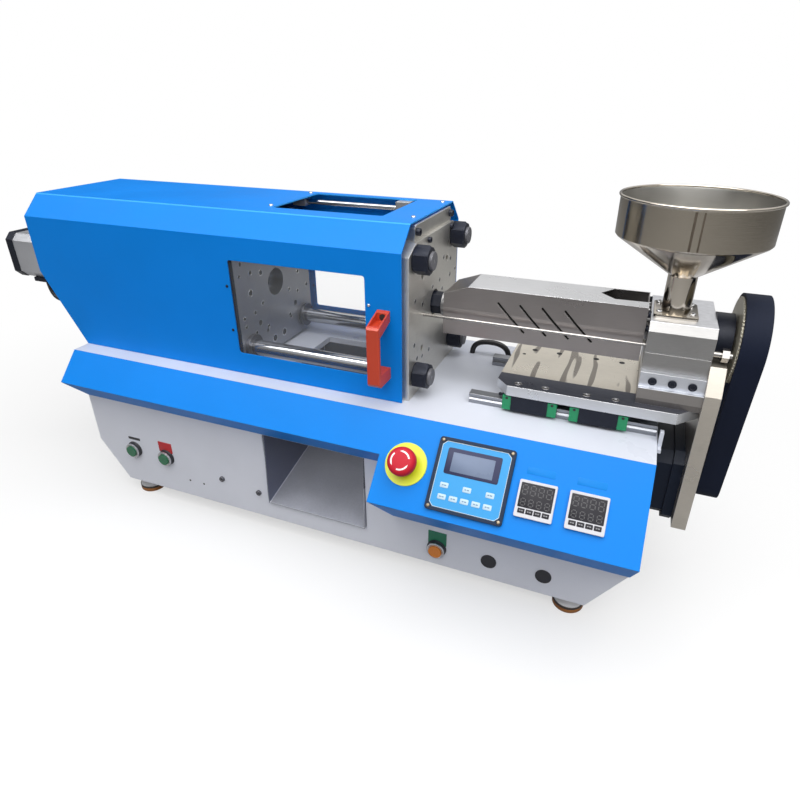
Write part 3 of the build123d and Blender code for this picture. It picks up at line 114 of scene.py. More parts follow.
def stack(outlines, heights, place, closed=(True, True)):
    """Loft: outline k at height k, carried into the place's axes, as a grid of outline points by heights. Gives the
    points and the faces, grouped by their number of corners."""
    origin, axes = place
    count = len(outlines[0])
    levels = len(outlines)
    local = np.c_[np.concatenate(outlines), np.repeat(np.array(heights, float), count)]
    points = origin + local @ axes / 1000
    row = np.arange(count)
    after = np.roll(row, -1)
    base = np.arange(levels - 1)[:, None] * count
    quads = np.stack([base + row, base + after, base + count + after, base + count + row], axis=-1)
    groups = [quads.reshape(-1, 4)]
    if closed[0]:
        groups.append(row[None, ::-1])
    if closed[1]:
        groups.append(row[None, :] + (levels - 1) * count)
    return points, groups


def tablet(width, height, radius, thickness, edge, place, arc=6):
    """Rounded plate: rounded outline, drawn in by the edge over the last part of its thickness."""
    outer = rounded_ring(width, height, radius, arc)
    middle = rounded_ring(width - edge * 0.6, height - edge * 0.6, max(radius - edge * 0.3, 0.05), arc)
    inner = rounded_ring(width - 2 * edge, height - 2 * edge, max(radius - edge, 0.05), arc)
    heights = [0, thickness - edge, thickness - edge * 0.3, thickness]
    return stack([outer, outer, middle, inner], heights, place)


def turned(profile, place, count=64, closed=(True, True)):
    """Turned shape: each profile point (radius, height) carried round the place's third axis."""
    profile = np.array(profile, float)
    outlines = [around(max(radius, POLE_RADIUS), ring(count)) for radius in profile[:, 0]]
    return stack(outlines, profile[:, 1], place, closed)


def turned_ring(profile, place, count=64):
    """Turned ring: a closed profile of radius and height, with its first point again at its end, carried round the
    place's third axis and open in the middle."""
    return turned([*profile, profile[0]], place, count, OPEN_ENDS)


def cap_screw(radius, height, place):
    """Cylinder head with an eased rim and a hexagon socket sunk into its top."""
    angle = ring(SCREW_POINTS)
    outer = around(radius, angle)
    eased = around(radius * 0.93, angle)
    socket = around(hexagon_radius(radius * 0.52, angle), angle)
    heights = [0, height * 0.86, height, height, height * 0.5]
    return stack([outer, outer, eased, socket, socket * 0.96], heights, place)


def button_screw(radius, height, place):
    """Domed head: radius falls as part of an ellipse, with a small hexagon socket in the crown."""
    angle = ring(SCREW_POINTS)
    rise = np.linspace(0, 1, 5)
    dome = [around(radius * math.sqrt(1 - 0.75 * t * t), angle) for t in rise]
    socket = around(hexagon_radius(radius * 0.32, angle), angle)
    return stack([*dome, socket, socket * 0.9], [*(rise * height), height, height * 0.35], place)


def piece(name, parts, material, body, smooth=30, inward=False):
    """Joins the parts into one mesh, welds its poles, shades it by angle and puts it on its body. The faces look
    outward, or inward where the piece is the open skin of a hollow."""
    starts = np.cumsum([0] + [len(points) for points, groups in parts])
    joined = np.concatenate([points for points, groups in parts])
    faces = []
    for start, (points, groups) in zip(starts, parts):
        for group in groups:
            faces += (group + start).tolist()
    mesh = bpy.data.meshes.new(name)
    mesh.from_pydata(joined.tolist(), [], faces)
    work = bmesh.new()
    work.from_mesh(mesh)
    bmesh.ops.remove_doubles(work, verts=work.verts, dist=WELD_REACH)
    bmesh.ops.recalc_face_normals(work, faces=work.faces)
    if inward:
        bmesh.ops.reverse_faces(work, faces=work.faces)
    work.to_mesh(mesh)
    work.free()
    mesh.polygons.foreach_set("use_smooth", np.ones(len(mesh.polygons), bool))
    mesh.set_sharp_from_angle(angle=math.radians(smooth))
    mesh.materials.append(material)
    made = bpy.data.objects.new(name, mesh)
    bpy.context.scene.collection.objects.link(made)
    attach(made, body)
    return made


# ---- finishes


def add_node(tree, kind, inputs=None, **settings):
    """New node of a kind, with its settings and the values of its inputs."""
    made = tree.nodes.new(kind)
    for key, value in settings.items():
        setattr(made, key, value)
    for key, value in (inputs or {}).items():
        made.inputs[key].default_value = value
    return made


def spread_to(tree, value, low, high, from_low=0.3, from_high=0.7, **settings):
    """Carries a value over from one range to another."""
    limits = {"From Min": from_low, "From Max": from_high, "To Min": low, "To Max": high}
    scale = add_node(tree, "ShaderNodeMapRange", limits, **settings)
    tree.links.new(value, scale.inputs["Value"])
    return scale.outputs["Result"]


def combine(tree, operation, *values):
    """Arithmetic on two or three values, each a number or another node's output."""
    made = add_node(tree, "ShaderNodeMath", operation=operation)
    for socket, value in zip(made.inputs, values):
        if isinstance(value, float):
            socket.default_value = value
        else:
            tree.links.new(value, socket)
    return made.outputs["Value"]


def blend(tree, factor, first, second):
    """Two colours mixed by a factor, each a colour or another node's output."""
    mix = add_node(tree, "ShaderNodeMix", data_type="RGBA")
    tree.links.new(factor, mix.inputs["Factor"])
    for socket, value in ((mix.inputs[6], first), (mix.inputs[7], second)):
        if isinstance(value, tuple):
            socket.default_value = (*value, 1)
        else:
            tree.links.new(value, socket)
    return mix.outputs[2]


def finish_of(name, colour, rough, metal=0.0, mottle=0.06, mottle_scale=9.0, grain=0.02, grain_scale=900.0,
              grain_stretch=(1, 1, 1), rough_spread=0.08, coat=0.0, wear=0.0, wear_colour=(0.5, 0.5, 0.5),
              wear_scale=40.0, alpha=1.0, dust=0.0, specular=0.5, edge=0.0, edge_highlight_colour=None,
              edge_width=0.0009, bands=(), reflection_streaks=None):
    """Shader: colour varied by a broad cloud noise and a fine stretched grain, rubbed spots where a third noise
    is high, a painted edge highlight where the rounded normal leaves the flat one, roughness spread by the cloud,
    and bump from the grain on the rounded normal. Bands tint the colour between two places along one axis, in
    millimetres from the deck corner, with ends as ragged as their last value says, in metres; most bands here are
    painted highlights, shade and reflections. A reflection streak pattern paints dark reflections where a
    drawn-out slanting noise is high."""
    material = bpy.data.materials.new(name)
    material.use_nodes = True
    tree = material.node_tree
    link = tree.links.new
    shader = tree.nodes["Principled BSDF"]
    shader.inputs["Metallic"].default_value = metal
    shader.inputs["Specular IOR Level"].default_value = specular
    if coat:
        shader.inputs["Coat Weight"].default_value = coat
        shader.inputs["Coat Roughness"].default_value = 0.08
    if alpha < 1:
        shader.inputs["Alpha"].default_value = alpha
    place = add_node(tree, "ShaderNodeTexCoord").outputs["Object"]

    def noise(scale, detail, stretch=(1, 1, 1), rough_share=0.55, turn=0.0):
        spread = add_node(tree, "ShaderNodeMapping", {"Rotation": (0, 0, turn), "Scale": stretch})
        values = {"Scale": scale, "Detail": detail, "Roughness": rough_share}
        cloud = add_node(tree, "ShaderNodeTexNoise", values)
        link(place, spread.inputs["Vector"])
        link(spread.outputs["Vector"], cloud.inputs["Vector"])
        return cloud.outputs["Fac"]

    cloud = noise(mottle_scale, 5)
    fine = noise(grain_scale, 2, grain_stretch)
    light = tuple(min(1.0, c * (1 + mottle)) for c in colour)
    dark = tuple(c * (1 - mottle) for c in colour)
    tone = blend(tree, spread_to(tree, cloud, 0, 1), dark, light)
    # Painted reflection: dark slanting lines of the given shade colour
    if reflection_streaks:
        turn, low, high, shade = reflection_streaks
        line = noise(5, 1, (14, 1.6, 1), 0.5, turn)
        tone = blend(tree, spread_to(tree, line, 0, 1, low, high), tone, shade)
    # Bands: mostly painted highlights, painted shade and painted reflections
    for axis, low, high, tint, ragged_by in bands:
        apart = add_node(tree, "ShaderNodeSeparateXYZ")
        link(place, apart.inputs["Vector"])
        along = apart.outputs[axis]
        if ragged_by:
            along = combine(tree, "MULTIPLY_ADD", noise(45, 3), ragged_by, along)
        middle = DECK_CORNER["XYZ".index(axis)] + (low + high) / 2000 + ragged_by / 2
        inside = combine(tree, "COMPARE", along, middle, (high - low) / 2000)
        tone = blend(tree, inside, tone, tint)
    tone = blend(tree, spread_to(tree, fine, 0, grain * 4), tone, tuple(c * 0.55 for c in colour))
    if wear:
        rubbed = noise(wear_scale, 6, rough_share=0.7)
        tone = blend(tree, spread_to(tree, rubbed, 0, wear, 0.6, 0.72), tone, wear_colour)
    if dust:
        tone = blend(tree, spread_to(tree, noise(5, 4), 0, dust, 0.45, 0.75), tone, (0.6, 0.6, 0.58))
    bump = add_node(tree, "ShaderNodeBump", {"Strength": min(1.0, grain * 6), "Distance": 0.0002})
    # Painted edge highlight: the colour lightens towards the highlight colour where the bevel normal leaves the
    # flat one
    if edge:
        rounded = add_node(tree, "ShaderNodeBevel", {"Radius": edge_width}, samples=3)
        flat = add_node(tree, "ShaderNodeNewGeometry")
        lean = add_node(tree, "ShaderNodeVectorMath", operation="DOT_PRODUCT")
        link(rounded.outputs["Normal"], lean.inputs[0])
        link(flat.outputs["Normal"], lean.inputs[1])
        rim = spread_to(tree, lean.outputs["Value"], edge, 0, 0.8, 0.985)
        tone = blend(tree, rim, tone, edge_highlight_colour or tuple(min(1.0, c * 1.5 + 0.12) for c in colour))
        link(rounded.outputs["Normal"], bump.inputs["Normal"])
    link(tone, shader.inputs["Base Color"])
    link(spread_to(tree, cloud, rough - rough_spread, rough + rough_spread), shader.inputs["Roughness"])
    link(fine, bump.inputs["Height"])
    link(bump.outputs["Normal"], shader.inputs["Normal"])
    return material


# Colours of the painted edge highlight on metal
BRIGHT_EDGE_HIGHLIGHT = (0.9, 0.9, 0.9)
PALE_EDGE_HIGHLIGHT = (0.85, 0.85, 0.85)
MILLED = dict(metal=0.85, mottle=0.1, grain=0.05, grain_scale=120, rough_spread=0.1, edge=0.6)
SCUFFED = dict(MILLED, grain_stretch=(1, 1, 14), wear=0.3, wear_scale=26)
moving_front = (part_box("moving_platen")[0].y - DECK_CORNER[1]) * 1000

# Painted highlight: lighter blue on the edges, and a light blue band along the fold between the top and the chamfer
blue_paint = finish_of(
    "blue_paint", (0.001, 0.226, 0.765), 0.42, mottle=0.03, grain=0.006, grain_scale=1400, rough_spread=0.05,
    specular=0.12, edge=0.35, edge_highlight_colour=(0.04, 0.42, 0.98),
    bands=[("Z", 252.3, 253.7, (0.05, 0.40, 0.95), 0.0)],
)
grey_paint = finish_of(
    "base_paint", (0.78, 0.80, 0.88), 0.42, mottle=0.03, grain=0.01, grain_scale=1500, dust=0.05,
    specular=0.25, edge=0.25,
)
white_paint = finish_of(
    "deck_paint", (0.655, 0.685, 0.765), 0.34, mottle=0.03, grain=0.008, grain_scale=1500, specular=0.25,
    edge=0.25,
)
orange_plastic = finish_of(
    "handle_plastic", (0.60, 0.055, 0.018), 0.42, mottle=0.07, grain=0.03, grain_scale=2200, edge=0.3,
    edge_highlight_colour=(0.8, 0.2, 0.1),
)
clear_pane = finish_of(
    "clear_pane", (0.9, 0.93, 0.95), 0.05, rough_spread=0.02, alpha=0.03, grain=0.004, specular=0.1,
)
bright_rod = finish_of(
    "chromed_rod", (0.46, 0.47, 0.49), 0.14, metal=1.0, mottle=0.05, grain=0.02, grain_stretch=(60, 1, 1),
    grain_scale=40, rough_spread=0.04,
)
machined_plate = finish_of(
    "machined_plate", (0.50, 0.495, 0.50), 0.36, **SCUFFED, wear_colour=(0.28, 0.27, 0.26),
    edge_highlight_colour=BRIGHT_EDGE_HIGHLIGHT,
)
# Painted reflections: dark slanting lines on the top, and a dark strip along the front of the top
carriage_finish = finish_of(
    "carriage_finish", (0.86, 0.80, 0.69), 0.3, metal=0.75, mottle=0.08, mottle_scale=22, grain=0.03,
    grain_scale=90, grain_stretch=(1, 16, 16), rough_spread=0.05, wear=0.15, wear_colour=(0.55, 0.49, 0.41),
    wear_scale=30, edge=0.7, edge_highlight_colour=BRIGHT_EDGE_HIGHLIGHT, reflection_streaks=(0.75, 0.60, 0.625, (0.30, 0.27, 0.235)),
    bands=[
        ("Y", 60.8, 101, (0.08, 0.09, 0.125), 0.001),
        ("Y", 59.0, 60.8, (0.66, 0.68, 0.72), 0.0),
        ("Z", 27, 42.7, (0.66, 0.68, 0.72), 0.0),
    ],
)
# Painted highlight: a pale line along the top edge, and pale edges
cover_finish = finish_of(
    "cover_finish", (0.345, 0.32, 0.315), 0.3, metal=0.95, mottle=0.06, grain=0.03, grain_scale=60,
    grain_stretch=(1, 30, 30), rough_spread=0.06, edge=0.5, edge_width=0.0005, edge_highlight_colour=BRIGHT_EDGE_HIGHLIGHT,
    bands=[("Z", 160.7, 162, (0.88, 0.885, 0.90), 0.0)],
)
# Painted highlight: a pale line along the top edge, and pale edges
feed_finish = finish_of(
    "feed_finish", (0.29, 0.285, 0.28), 0.36, metal=0.85, mottle=0.1, grain=0.04, grain_scale=120,
    grain_stretch=(1, 1, 14), rough_spread=0.08, wear=0.2, wear_colour=(0.2, 0.19, 0.18), wear_scale=26,
    edge=0.6, edge_highlight_colour=PALE_EDGE_HIGHLIGHT,
    bands=[("Z", 149.6, 151, (0.90, 0.91, 0.95), 0.0)],
)
drive_finish = finish_of(
    "drive_finish", (0.52, 0.48, 0.42), 0.34, metal=0.8, mottle=0.1, grain=0.04, grain_scale=120,
    grain_stretch=(1, 1, 14), rough_spread=0.08, wear=0.25, wear_colour=(0.3, 0.28, 0.25), wear_scale=26,
    edge=0.6, edge_highlight_colour=BRIGHT_EDGE_HIGHLIGHT,
)
# Painted shade: a dark blue band on the platen's front face
moving_finish = finish_of(
    "moving_finish", (0.34, 0.35, 0.385), 0.36, **SCUFFED, wear_colour=(0.22, 0.22, 0.24),
    edge_highlight_colour=(0.85, 0.86, 0.9),
    bands=[("Y", moving_front - 1, moving_front + 0.6, (0.005, 0.02, 0.075), 0.0)],
)
fixed_finish = finish_of(
    "fixed_finish", (0.71, 0.69, 0.64), 0.36, **SCUFFED, wear_colour=(0.33, 0.32, 0.32),
    edge_highlight_colour=BRIGHT_EDGE_HIGHLIGHT,
)
# Painted highlight: a pale line along the top edge, and pale edges
bar_finish = finish_of(
    "bar_finish", (0.50, 0.49, 0.46), 0.36, **MILLED, grain_stretch=(1, 14, 1), edge_highlight_colour=BRIGHT_EDGE_HIGHLIGHT,
    bands=[("Z", 247.4, 249.2, (0.93, 0.94, 0.96), 0.0)],
)
rod_steel = finish_of(
    "rod_steel", (0.34, 0.325, 0.31), 0.22, metal=1.0, mottle=0.06, grain=0.02, grain_scale=40,
    grain_stretch=(60, 1, 1), rough_spread=0.04,
)
riser_finish = finish_of(
    "riser_finish", (0.62, 0.64, 0.69), 0.36, metal=0.85, mottle=0.08, grain=0.04, grain_scale=120,
    grain_stretch=(14, 1, 1), rough_spread=0.08, edge=0.6, edge_highlight_colour=BRIGHT_EDGE_HIGHLIGHT,
    bands=[
        ("Z", 51, 65.4, (0.29, 0.27, 0.255), 0.0),
        ("Z", 42, 51, (0.16, 0.145, 0.135), 0.0),
    ],
)
end_steel = finish_of(
    "end_steel", (0.15, 0.15, 0.165), 0.5, metal=0.35, mottle=0.12, grain=0.03, specular=0.3,
)
rail_steel = finish_of(
    "rail_steel", (0.30, 0.31, 0.335), 0.34, metal=1.0, mottle=0.06, grain=0.03, grain_scale=40,
    grain_stretch=(1, 40, 40), edge=0.4, edge_highlight_colour=(0.75, 0.75, 0.75),
)
stainless_sheet = finish_of(
    "stainless_sheet", (0.47, 0.45, 0.445), 0.26, metal=1.0, mottle=0.06, grain=0.04, grain_scale=60,
    grain_stretch=(1, 30, 30), rough_spread=0.06, edge=0.6, edge_highlight_colour=BRIGHT_EDGE_HIGHLIGHT,
)
# Painted shade: the upper part and the left wall darkened; painted highlight: the narrow pale strip beside the left
# wall
chute_sheet = finish_of(
    "chute_sheet", (0.43, 0.44, 0.49), 0.45, metal=0.35, mottle=0.08, mottle_scale=14, grain=0.04,
    grain_scale=300, edge=0.6, edge_highlight_colour=(0.85, 0.86, 0.9),
    bands=[
        ("Z", -150, 5, (0.07, 0.08, 0.105), 0.0),
        ("X", -590, -586, (0.17, 0.185, 0.26), 0.0),
        ("X", -586, -584.6, (0.75, 0.77, 0.84), 0.0),
    ],
)
satin_steel = finish_of(
    "satin_steel", (0.46, 0.45, 0.425), 0.34, metal=1.0, mottle=0.08, mottle_scale=14, grain=0.03,
    grain_scale=50, grain_stretch=(1, 1, 30), rough_spread=0.06,
)
dark_steel = finish_of(
    "dark_steel", (0.13, 0.13, 0.145), 0.3, metal=0.9, mottle=0.12, grain=0.03, edge=0.5,
    edge_highlight_colour=(0.5, 0.5, 0.52),
)
# Painted reflection: the cone tinted lighter and the upright wall darker than the rest of the funnel
polished_steel = finish_of(
    "polished_steel", (0.52, 0.475, 0.41), 0.13, metal=1.0, mottle=0.1, mottle_scale=14, grain=0.012,
    grain_scale=50, grain_stretch=(1, 1, 40), rough_spread=0.04,
    bands=[
        ("Z", 249, 293.4, (0.45, 0.405, 0.335), 0.0),
        ("Z", 200.5, 246, (0.62, 0.58, 0.52), 0.0),
    ],
)
seam_steel = finish_of(
    "seam_steel", (0.10, 0.08, 0.06), 0.5, metal=0.2, mottle=0.12, mottle_scale=40, grain=0.02, specular=0.2,
)
screw_steel = finish_of("screw_steel", (0.62, 0.62, 0.63), 0.25, metal=1.0, mottle=0.08, grain=0.02)
black_steel = finish_of(
    "black_steel", (0.011, 0.014, 0.026), 0.42, metal=0.15, mottle=0.2, grain=0.05, grain_scale=1600,
    wear=0.1, wear_colour=(0.08, 0.08, 0.09), wear_scale=60, specular=0.3, edge=0.4,
    edge_highlight_colour=(0.12, 0.12, 0.14),
)
motor_aluminium = finish_of(
    "motor_aluminium", (0.58, 0.59, 0.62), 0.4, metal=0.6, mottle=0.08, grain=0.05, grain_scale=700, edge=0.5,
    edge_highlight_colour=PALE_EDGE_HIGHLIGHT,
)
motor_navy = finish_of(
    "motor_navy", (0.008, 0.014, 0.03), 0.5, mottle=0.2, grain=0.05, grain_scale=1600, specular=0.2, edge=0.4,
    edge_highlight_colour=(0.10, 0.11, 0.14),
)
inner_steel = finish_of(
    "inner_steel", (0.33, 0.33, 0.34), 0.34, metal=0.9, mottle=0.1, grain=0.04, grain_scale=200,
    grain_stretch=(1, 8, 8), edge=0.5, edge_highlight_colour=(0.7, 0.7, 0.7),
)
bronze_bush = finish_of("bronze_bush", (0.26, 0.21, 0.15), 0.35, metal=0.9, mottle=0.12, grain=0.04)
cream_pulley = finish_of(
    "cream_pulley", (0.56, 0.52, 0.41), 0.38, metal=0.3, mottle=0.08, grain=0.04, edge=0.6,
    edge_highlight_colour=(0.9, 0.9, 0.88),
)
belt_rubber = finish_of(
    "belt_rubber", (0.008, 0.012, 0.028), 0.6, mottle=0.15, grain=0.06, grain_scale=900, specular=0.12,
    edge=0.3, edge_highlight_colour=(0.04, 0.045, 0.06),
)
green_plastic = finish_of(
    "green_plastic", (0.006, 0.27, 0.105), 0.4, mottle=0.08, grain=0.03, grain_scale=2000, edge=0.3,
    edge_highlight_colour=(0.05, 0.4, 0.2),
)
foot_steel = finish_of("foot_steel", (0.92, 0.92, 0.93), 0.4, metal=0.1, mottle=0.08, grain=0.03)
foot_rim = finish_of("foot_rim", (0.07, 0.06, 0.055), 0.4, metal=0.6, mottle=0.2, grain=0.04)
foot_resin = finish_of("foot_resin", (0.34, 0.13, 0.03), 0.4, mottle=0.16, mottle_scale=40, grain=0.05)
estop_yellow = finish_of("estop_yellow", (0.76, 0.82, 0.025), 0.4, mottle=0.04, grain=0.015, edge=0.3)
estop_dark = finish_of("estop_dark", (0.10, 0.012, 0.014), 0.4, mottle=0.1, grain=0.02)
estop_red = finish_of("estop_red", (0.56, 0.012, 0.03), 0.5, mottle=0.06, grain=0.015, specular=0.2)
estop_white = finish_of("estop_white", (0.85, 0.85, 0.85), 0.4, mottle=0.03, grain=0.01)
display_frame = finish_of(
    "display_frame", (0.005, 0.018, 0.05), 0.5, mottle=0.12, grain=0.03, specular=0.2, edge=0.3,
    edge_highlight_colour=(0.03, 0.08, 0.16),
)
display_line = finish_of("display_line", (0.55, 0.66, 0.72), 0.4, mottle=0.05, grain=0.01)
display_film = finish_of(
    "display_film", (0.04, 0.33, 0.72), 0.4, mottle=0.03, grain=0.012, grain_scale=2500, specular=0.2,
    edge=0.3,
)
display_black = finish_of("display_black", (0.024, 0.028, 0.075), 0.42, mottle=0.1, grain=0.008, specular=0.2)
display_screen = finish_of(
    "display_screen", (0.155, 0.20, 0.30), 0.3, mottle=0.05, mottle_scale=30, grain=0.01, specular=0.2,
)
key_film = finish_of("key_film", (0.50, 0.66, 0.78), 0.4, mottle=0.04, grain=0.012, specular=0.2)
key_mark = finish_of("key_mark", (0.16, 0.26, 0.38), 0.45, mottle=0.06, grain=0.01)
label_blue = finish_of("label_blue", (0.003, 0.225, 0.70), 0.42, mottle=0.03, grain=0.01, specular=0.1)
label_red = finish_of("label_red", (0.50, 0.02, 0.025), 0.38, mottle=0.05, grain=0.012, edge=0.3)
label_green = finish_of("label_green", (0.01, 0.16, 0.085), 0.38, mottle=0.05, grain=0.012, edge=0.3)
label_black = finish_of("label_black", (0.03, 0.03, 0.034), 0.4, mottle=0.08, grain=0.012)
controller_shell = finish_of("controller_shell", (0.60, 0.60, 0.64), 0.4, mottle=0.04, grain=0.015, edge=0.3)
controller_dark = finish_of(
    "controller_dark", (0.012, 0.011, 0.016), 0.4, mottle=0.1, grain=0.01, specular=0.2,
)
controller_mark = finish_of("controller_mark", (0.30, 0.30, 0.32), 0.4, mottle=0.06, grain=0.01, specular=0.2)
digit_unlit = finish_of("digit_unlit", (0.105, 0.105, 0.11), 0.45, mottle=0.06, grain=0.01, specular=0.2)
button_shell = finish_of(
    "button_shell", (0.55, 0.55, 0.56), 0.3, metal=0.7, mottle=0.06, grain=0.02, edge=0.4,
)
button_green = finish_of("button_green", (0.008, 0.15, 0.06), 0.25, mottle=0.06, grain=0.01, coat=0.3)
button_amber = finish_of("button_amber", (0.70, 0.21, 0.015), 0.25, mottle=0.06, grain=0.01, coat=0.3)
plug_black = finish_of(
    "plug_black", (0.022, 0.022, 0.028), 0.4, mottle=0.1, grain=0.03, edge=0.4, edge_highlight_colour=(0.1, 0.1, 0.11),
)
drive_case = finish_of("drive_case", (0.05, 0.05, 0.055), 0.45, mottle=0.1, grain=0.03, edge=0.4)
lead_jacket = finish_of("lead_jacket", (0.014, 0.014, 0.016), 0.5, mottle=0.15, grain=0.05, grain_scale=1500)
# Painted shade for holes
painted_hole_shade = finish_of("painted_hole_shade", (0.02, 0.02, 0.022), 0.6, mottle=0.2, grain=0.03)
insulation = finish_of(
    "insulation", (0.03, 0.028, 0.026), 0.8, mottle=0.2, mottle_scale=60, grain=0.1, grain_scale=400,
)

FINISHES = {
    "blue_paint": blue_paint, "grey_paint": grey_paint, "white_paint": white_paint,
    "orange_plastic": orange_plastic, "clear_pane": clear_pane, "bright_rod": bright_rod,
    "machined_plate": machined_plate, "stainless_sheet": stainless_sheet, "black_steel": black_steel,
    "motor_aluminium": motor_aluminium, "inner_steel": inner_steel, "bronze_bush": bronze_bush,
    "cream_pulley": cream_pulley, "belt_rubber": belt_rubber, "green_plastic": green_plastic,
    "foot_steel": foot_steel, "foot_resin": foot_resin, "estop_yellow": estop_yellow,
    "estop_dark": estop_dark, "estop_red": estop_red, "display_frame": display_frame,
    "display_film": display_film, "controller_shell": controller_shell, "controller_dark": controller_dark,
    "button_shell": button_shell, "button_green": button_green, "button_amber": button_amber,
    "plug_black": plug_black, "drive_case": drive_case,
}
NODE_FINISHES = {
    "carriage_plate": carriage_finish, "heater_bands": insulation, "chute_tray": chute_sheet,
    "heater_cover": cover_finish, "linear_rails": rail_steel, "platen_bushes": dark_steel,
    "feed_block": feed_finish, "drive_plate": drive_finish, "moving_platen": moving_finish,
    "fixed_platen": fixed_finish, "platen_top_bar": bar_finish, "feed_riser": riser_finish,
    "stop_rods": rod_steel, "injection_motor": motor_navy,
}
for cad in nodes.values():
    for held in cad.material_slots:
        held.material = FINISHES[held.material.name.split(".")[0]]
for node_name, node_finish in NODE_FINISHES.items():
    nodes[node_name].material_slots[0].material = node_finish

# ---- places on the machine


def facing(along, across):
    """Maker of places on one kind of face, by the face's first and second axis."""
    return lambda x, y, z: frame_of(spot(x, y, z), along, across)


# Up, towards the operator, away from them, towards the belt end and towards the clamp motor
facing_up = facing((1, 0, 0), (0, 1, 0))
facing_front = facing((1, 0, 0), (0, 0, 1))
facing_rear = facing((-1, 0, 0), (0, 0, 1))
facing_right = facing((0, 1, 0), (0, 0, 1))
facing_left = facing((0, -1, 0), (0, 0, 1))
UP_SLOPE = np.array([0, math.cos(PANEL_SLOPE), math.sin(PANEL_SLOPE)])
OUT_OF_PANEL = np.array([0, -math.sin(PANEL_SLOPE), math.cos(PANEL_SLOPE)])


def on_panel(x, down, lift):
    """A place on the console's sloping face: down the slope from the deck edge, and proud of the face."""
    return frame_of(spot(x, 0, 0) - UP_SLOPE * down / 1000 + OUT_OF_PANEL * lift / 1000, (1, 0, 0), UP_SLOPE)


def drilled(radius, place):
    """Painted shade of a drilled hole: a dark flat disc that stands a hair over its face."""
    return turned([(radius, 0), (radius, 0.12), (radius * 0.6, 0.14), (0, 0.14)], place, 24)


def hole_lip(radius, place):
    """Bright countersink round a drilled hole, a shallow cone ring."""
    profile = [(radius * 1.3, 0), (radius * 1.28, 0.1), (radius * 1.02, 0.2), (radius * 0.98, 0.05)]
    return turned(profile, place, 24)


# ---- hood screws, platen nuts, and the painted shade of holes

hood_sides = ((facing_front, HOOD_FRONT), (facing_rear, HOOD_REAR))
window_levels = (145, 74)
roof_places = ((-597, 109), (-600, 234), (-363, 105), (-363, 232))
hood_screws = [button_screw(3.5, 2.0, facing_up(x, y, HOOD_TOP)) for x, y in roof_places]
hood_screws += [button_screw(2.4, 1.4, face(-400, y, z)) for face, y in hood_sides for z in window_levels]
piece("hood_screws", hood_screws, screw_steel, "hood")
hood_plugs = [button_screw(2.4, 1.2, face(-637, y, z)) for face, y in hood_sides for z in window_levels]
piece("hood_plugs", hood_plugs, motor_navy, "hood")
# Painted shade: a dark disc for the hole in the handle
piece("handle_hole_shade", [drilled(5.0, facing_front(-376.5, 24, 132.6))], painted_hole_shade, "hood")


def chamfered_nut(place):
    """Hexagon nut: radius is the lesser of the hexagon and a cone that cuts its corners at both ends."""
    angle = ring(96)
    hexagon = hexagon_radius(18, angle)
    heights = [0, 0.01, 2.4, 20.2, 22.6, 23.0, 23.0, 21.5]
    cones = [12.6, 17.6, 21.0, 21.0, 18.0, 17.0, 13.6, 12.6]
    return stack([around(np.minimum(hexagon, cone), angle) for cone in cones], heights, place)


tie_places = [(AXIS_Y + a * 83, AXIS_Z + b * 86.5) for a, b in CORNERS]
nuts = [chamfered_nut(facing_right(FIXED_FACE, y, z)) for y, z in tie_places]
nuts += [chamfered_nut(facing_left(TAIL_FACE, y, z)) for y, z in tie_places]
tie_nuts = piece("tie_bar_hex_nuts", nuts, black_steel, "frame", 25)
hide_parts("tie_bar_nuts")
end_face = [(12.4, -4.1), (12.8, -4.0), (12.8, -0.3), (12.0, 0.4), (2.8, 0.4), (1.4, -1.2), (0, -1.4)]
end_faces = [turned(end_face, facing_right(TIE_RIGHT_END, y, z), 48) for y, z in tie_places]
end_faces += [turned(end_face, facing_left(TIE_LEFT_END, y, z), 48) for y, z in tie_places]
piece("tie_bar_end_faces", end_faces, end_steel, "frame")

# Holes by their place across the platen, their height and their radius
fixed_holes = [
    (187, 180, 3), (222, 170, 3), (221, 144, 3), (138, 147, 2.6), (64, 147, 3), (95, 134, 3.4), (183, 131, 3),
    (248, 147, 2.6), (170, 149, 2.6), (125, 50, 3), (95, 51, 2.6), (62, 81, 3), (73, 56, 3),
]
moving_holes = [
    (58, 172, 3), (81, 153, 3.4), (108, 146, 4), (52, 154, 2.6), (76, 121, 4.6), (105, 95, 3), (82, 86, 3),
    (53, 85, 3), (55, 70, 2.6), (115, 51, 3), (186, 95, 3), (213, 85, 3), (244, 88, 3.4), (182, 50, 3),
    (218, 119, 3), (80, 52, 3), (129, 24, 5.5), (159, 25, 5.5),
]


def at_holes(make, face_x, holes):
    """One shape for each hole of a platen face."""
    return [make(r, facing_right(face_x, y, z)) for y, z, r in holes]


# Painted shade: dark discs for the platen holes, with bright countersinks round them
piece("fixed_platen_hole_shade", at_holes(drilled, FIXED_FACE, fixed_holes), painted_hole_shade, "frame")
piece("fixed_platen_hole_lips", at_holes(hole_lip, FIXED_FACE, fixed_holes), screw_steel, "frame")
piece("moving_platen_hole_shade", at_holes(drilled, MOVING_FACE, moving_holes), painted_hole_shade, "clamp_slide")
piece("moving_platen_hole_lips", at_holes(hole_lip, MOVING_FACE, moving_holes), screw_steel, "clamp_slide")
bar_screws = [cap_screw(5.2, 6, facing_right(-350, y, 239)) for y in (84, 228)]
bar_screws += [cap_screw(4.2, 4.5, facing_right(FIXED_FACE, y, 222)) for y in (116, 216)]
piece("platen_bar_screws", bar_screws, black_steel, "frame")

# ---- carriage and feed stack

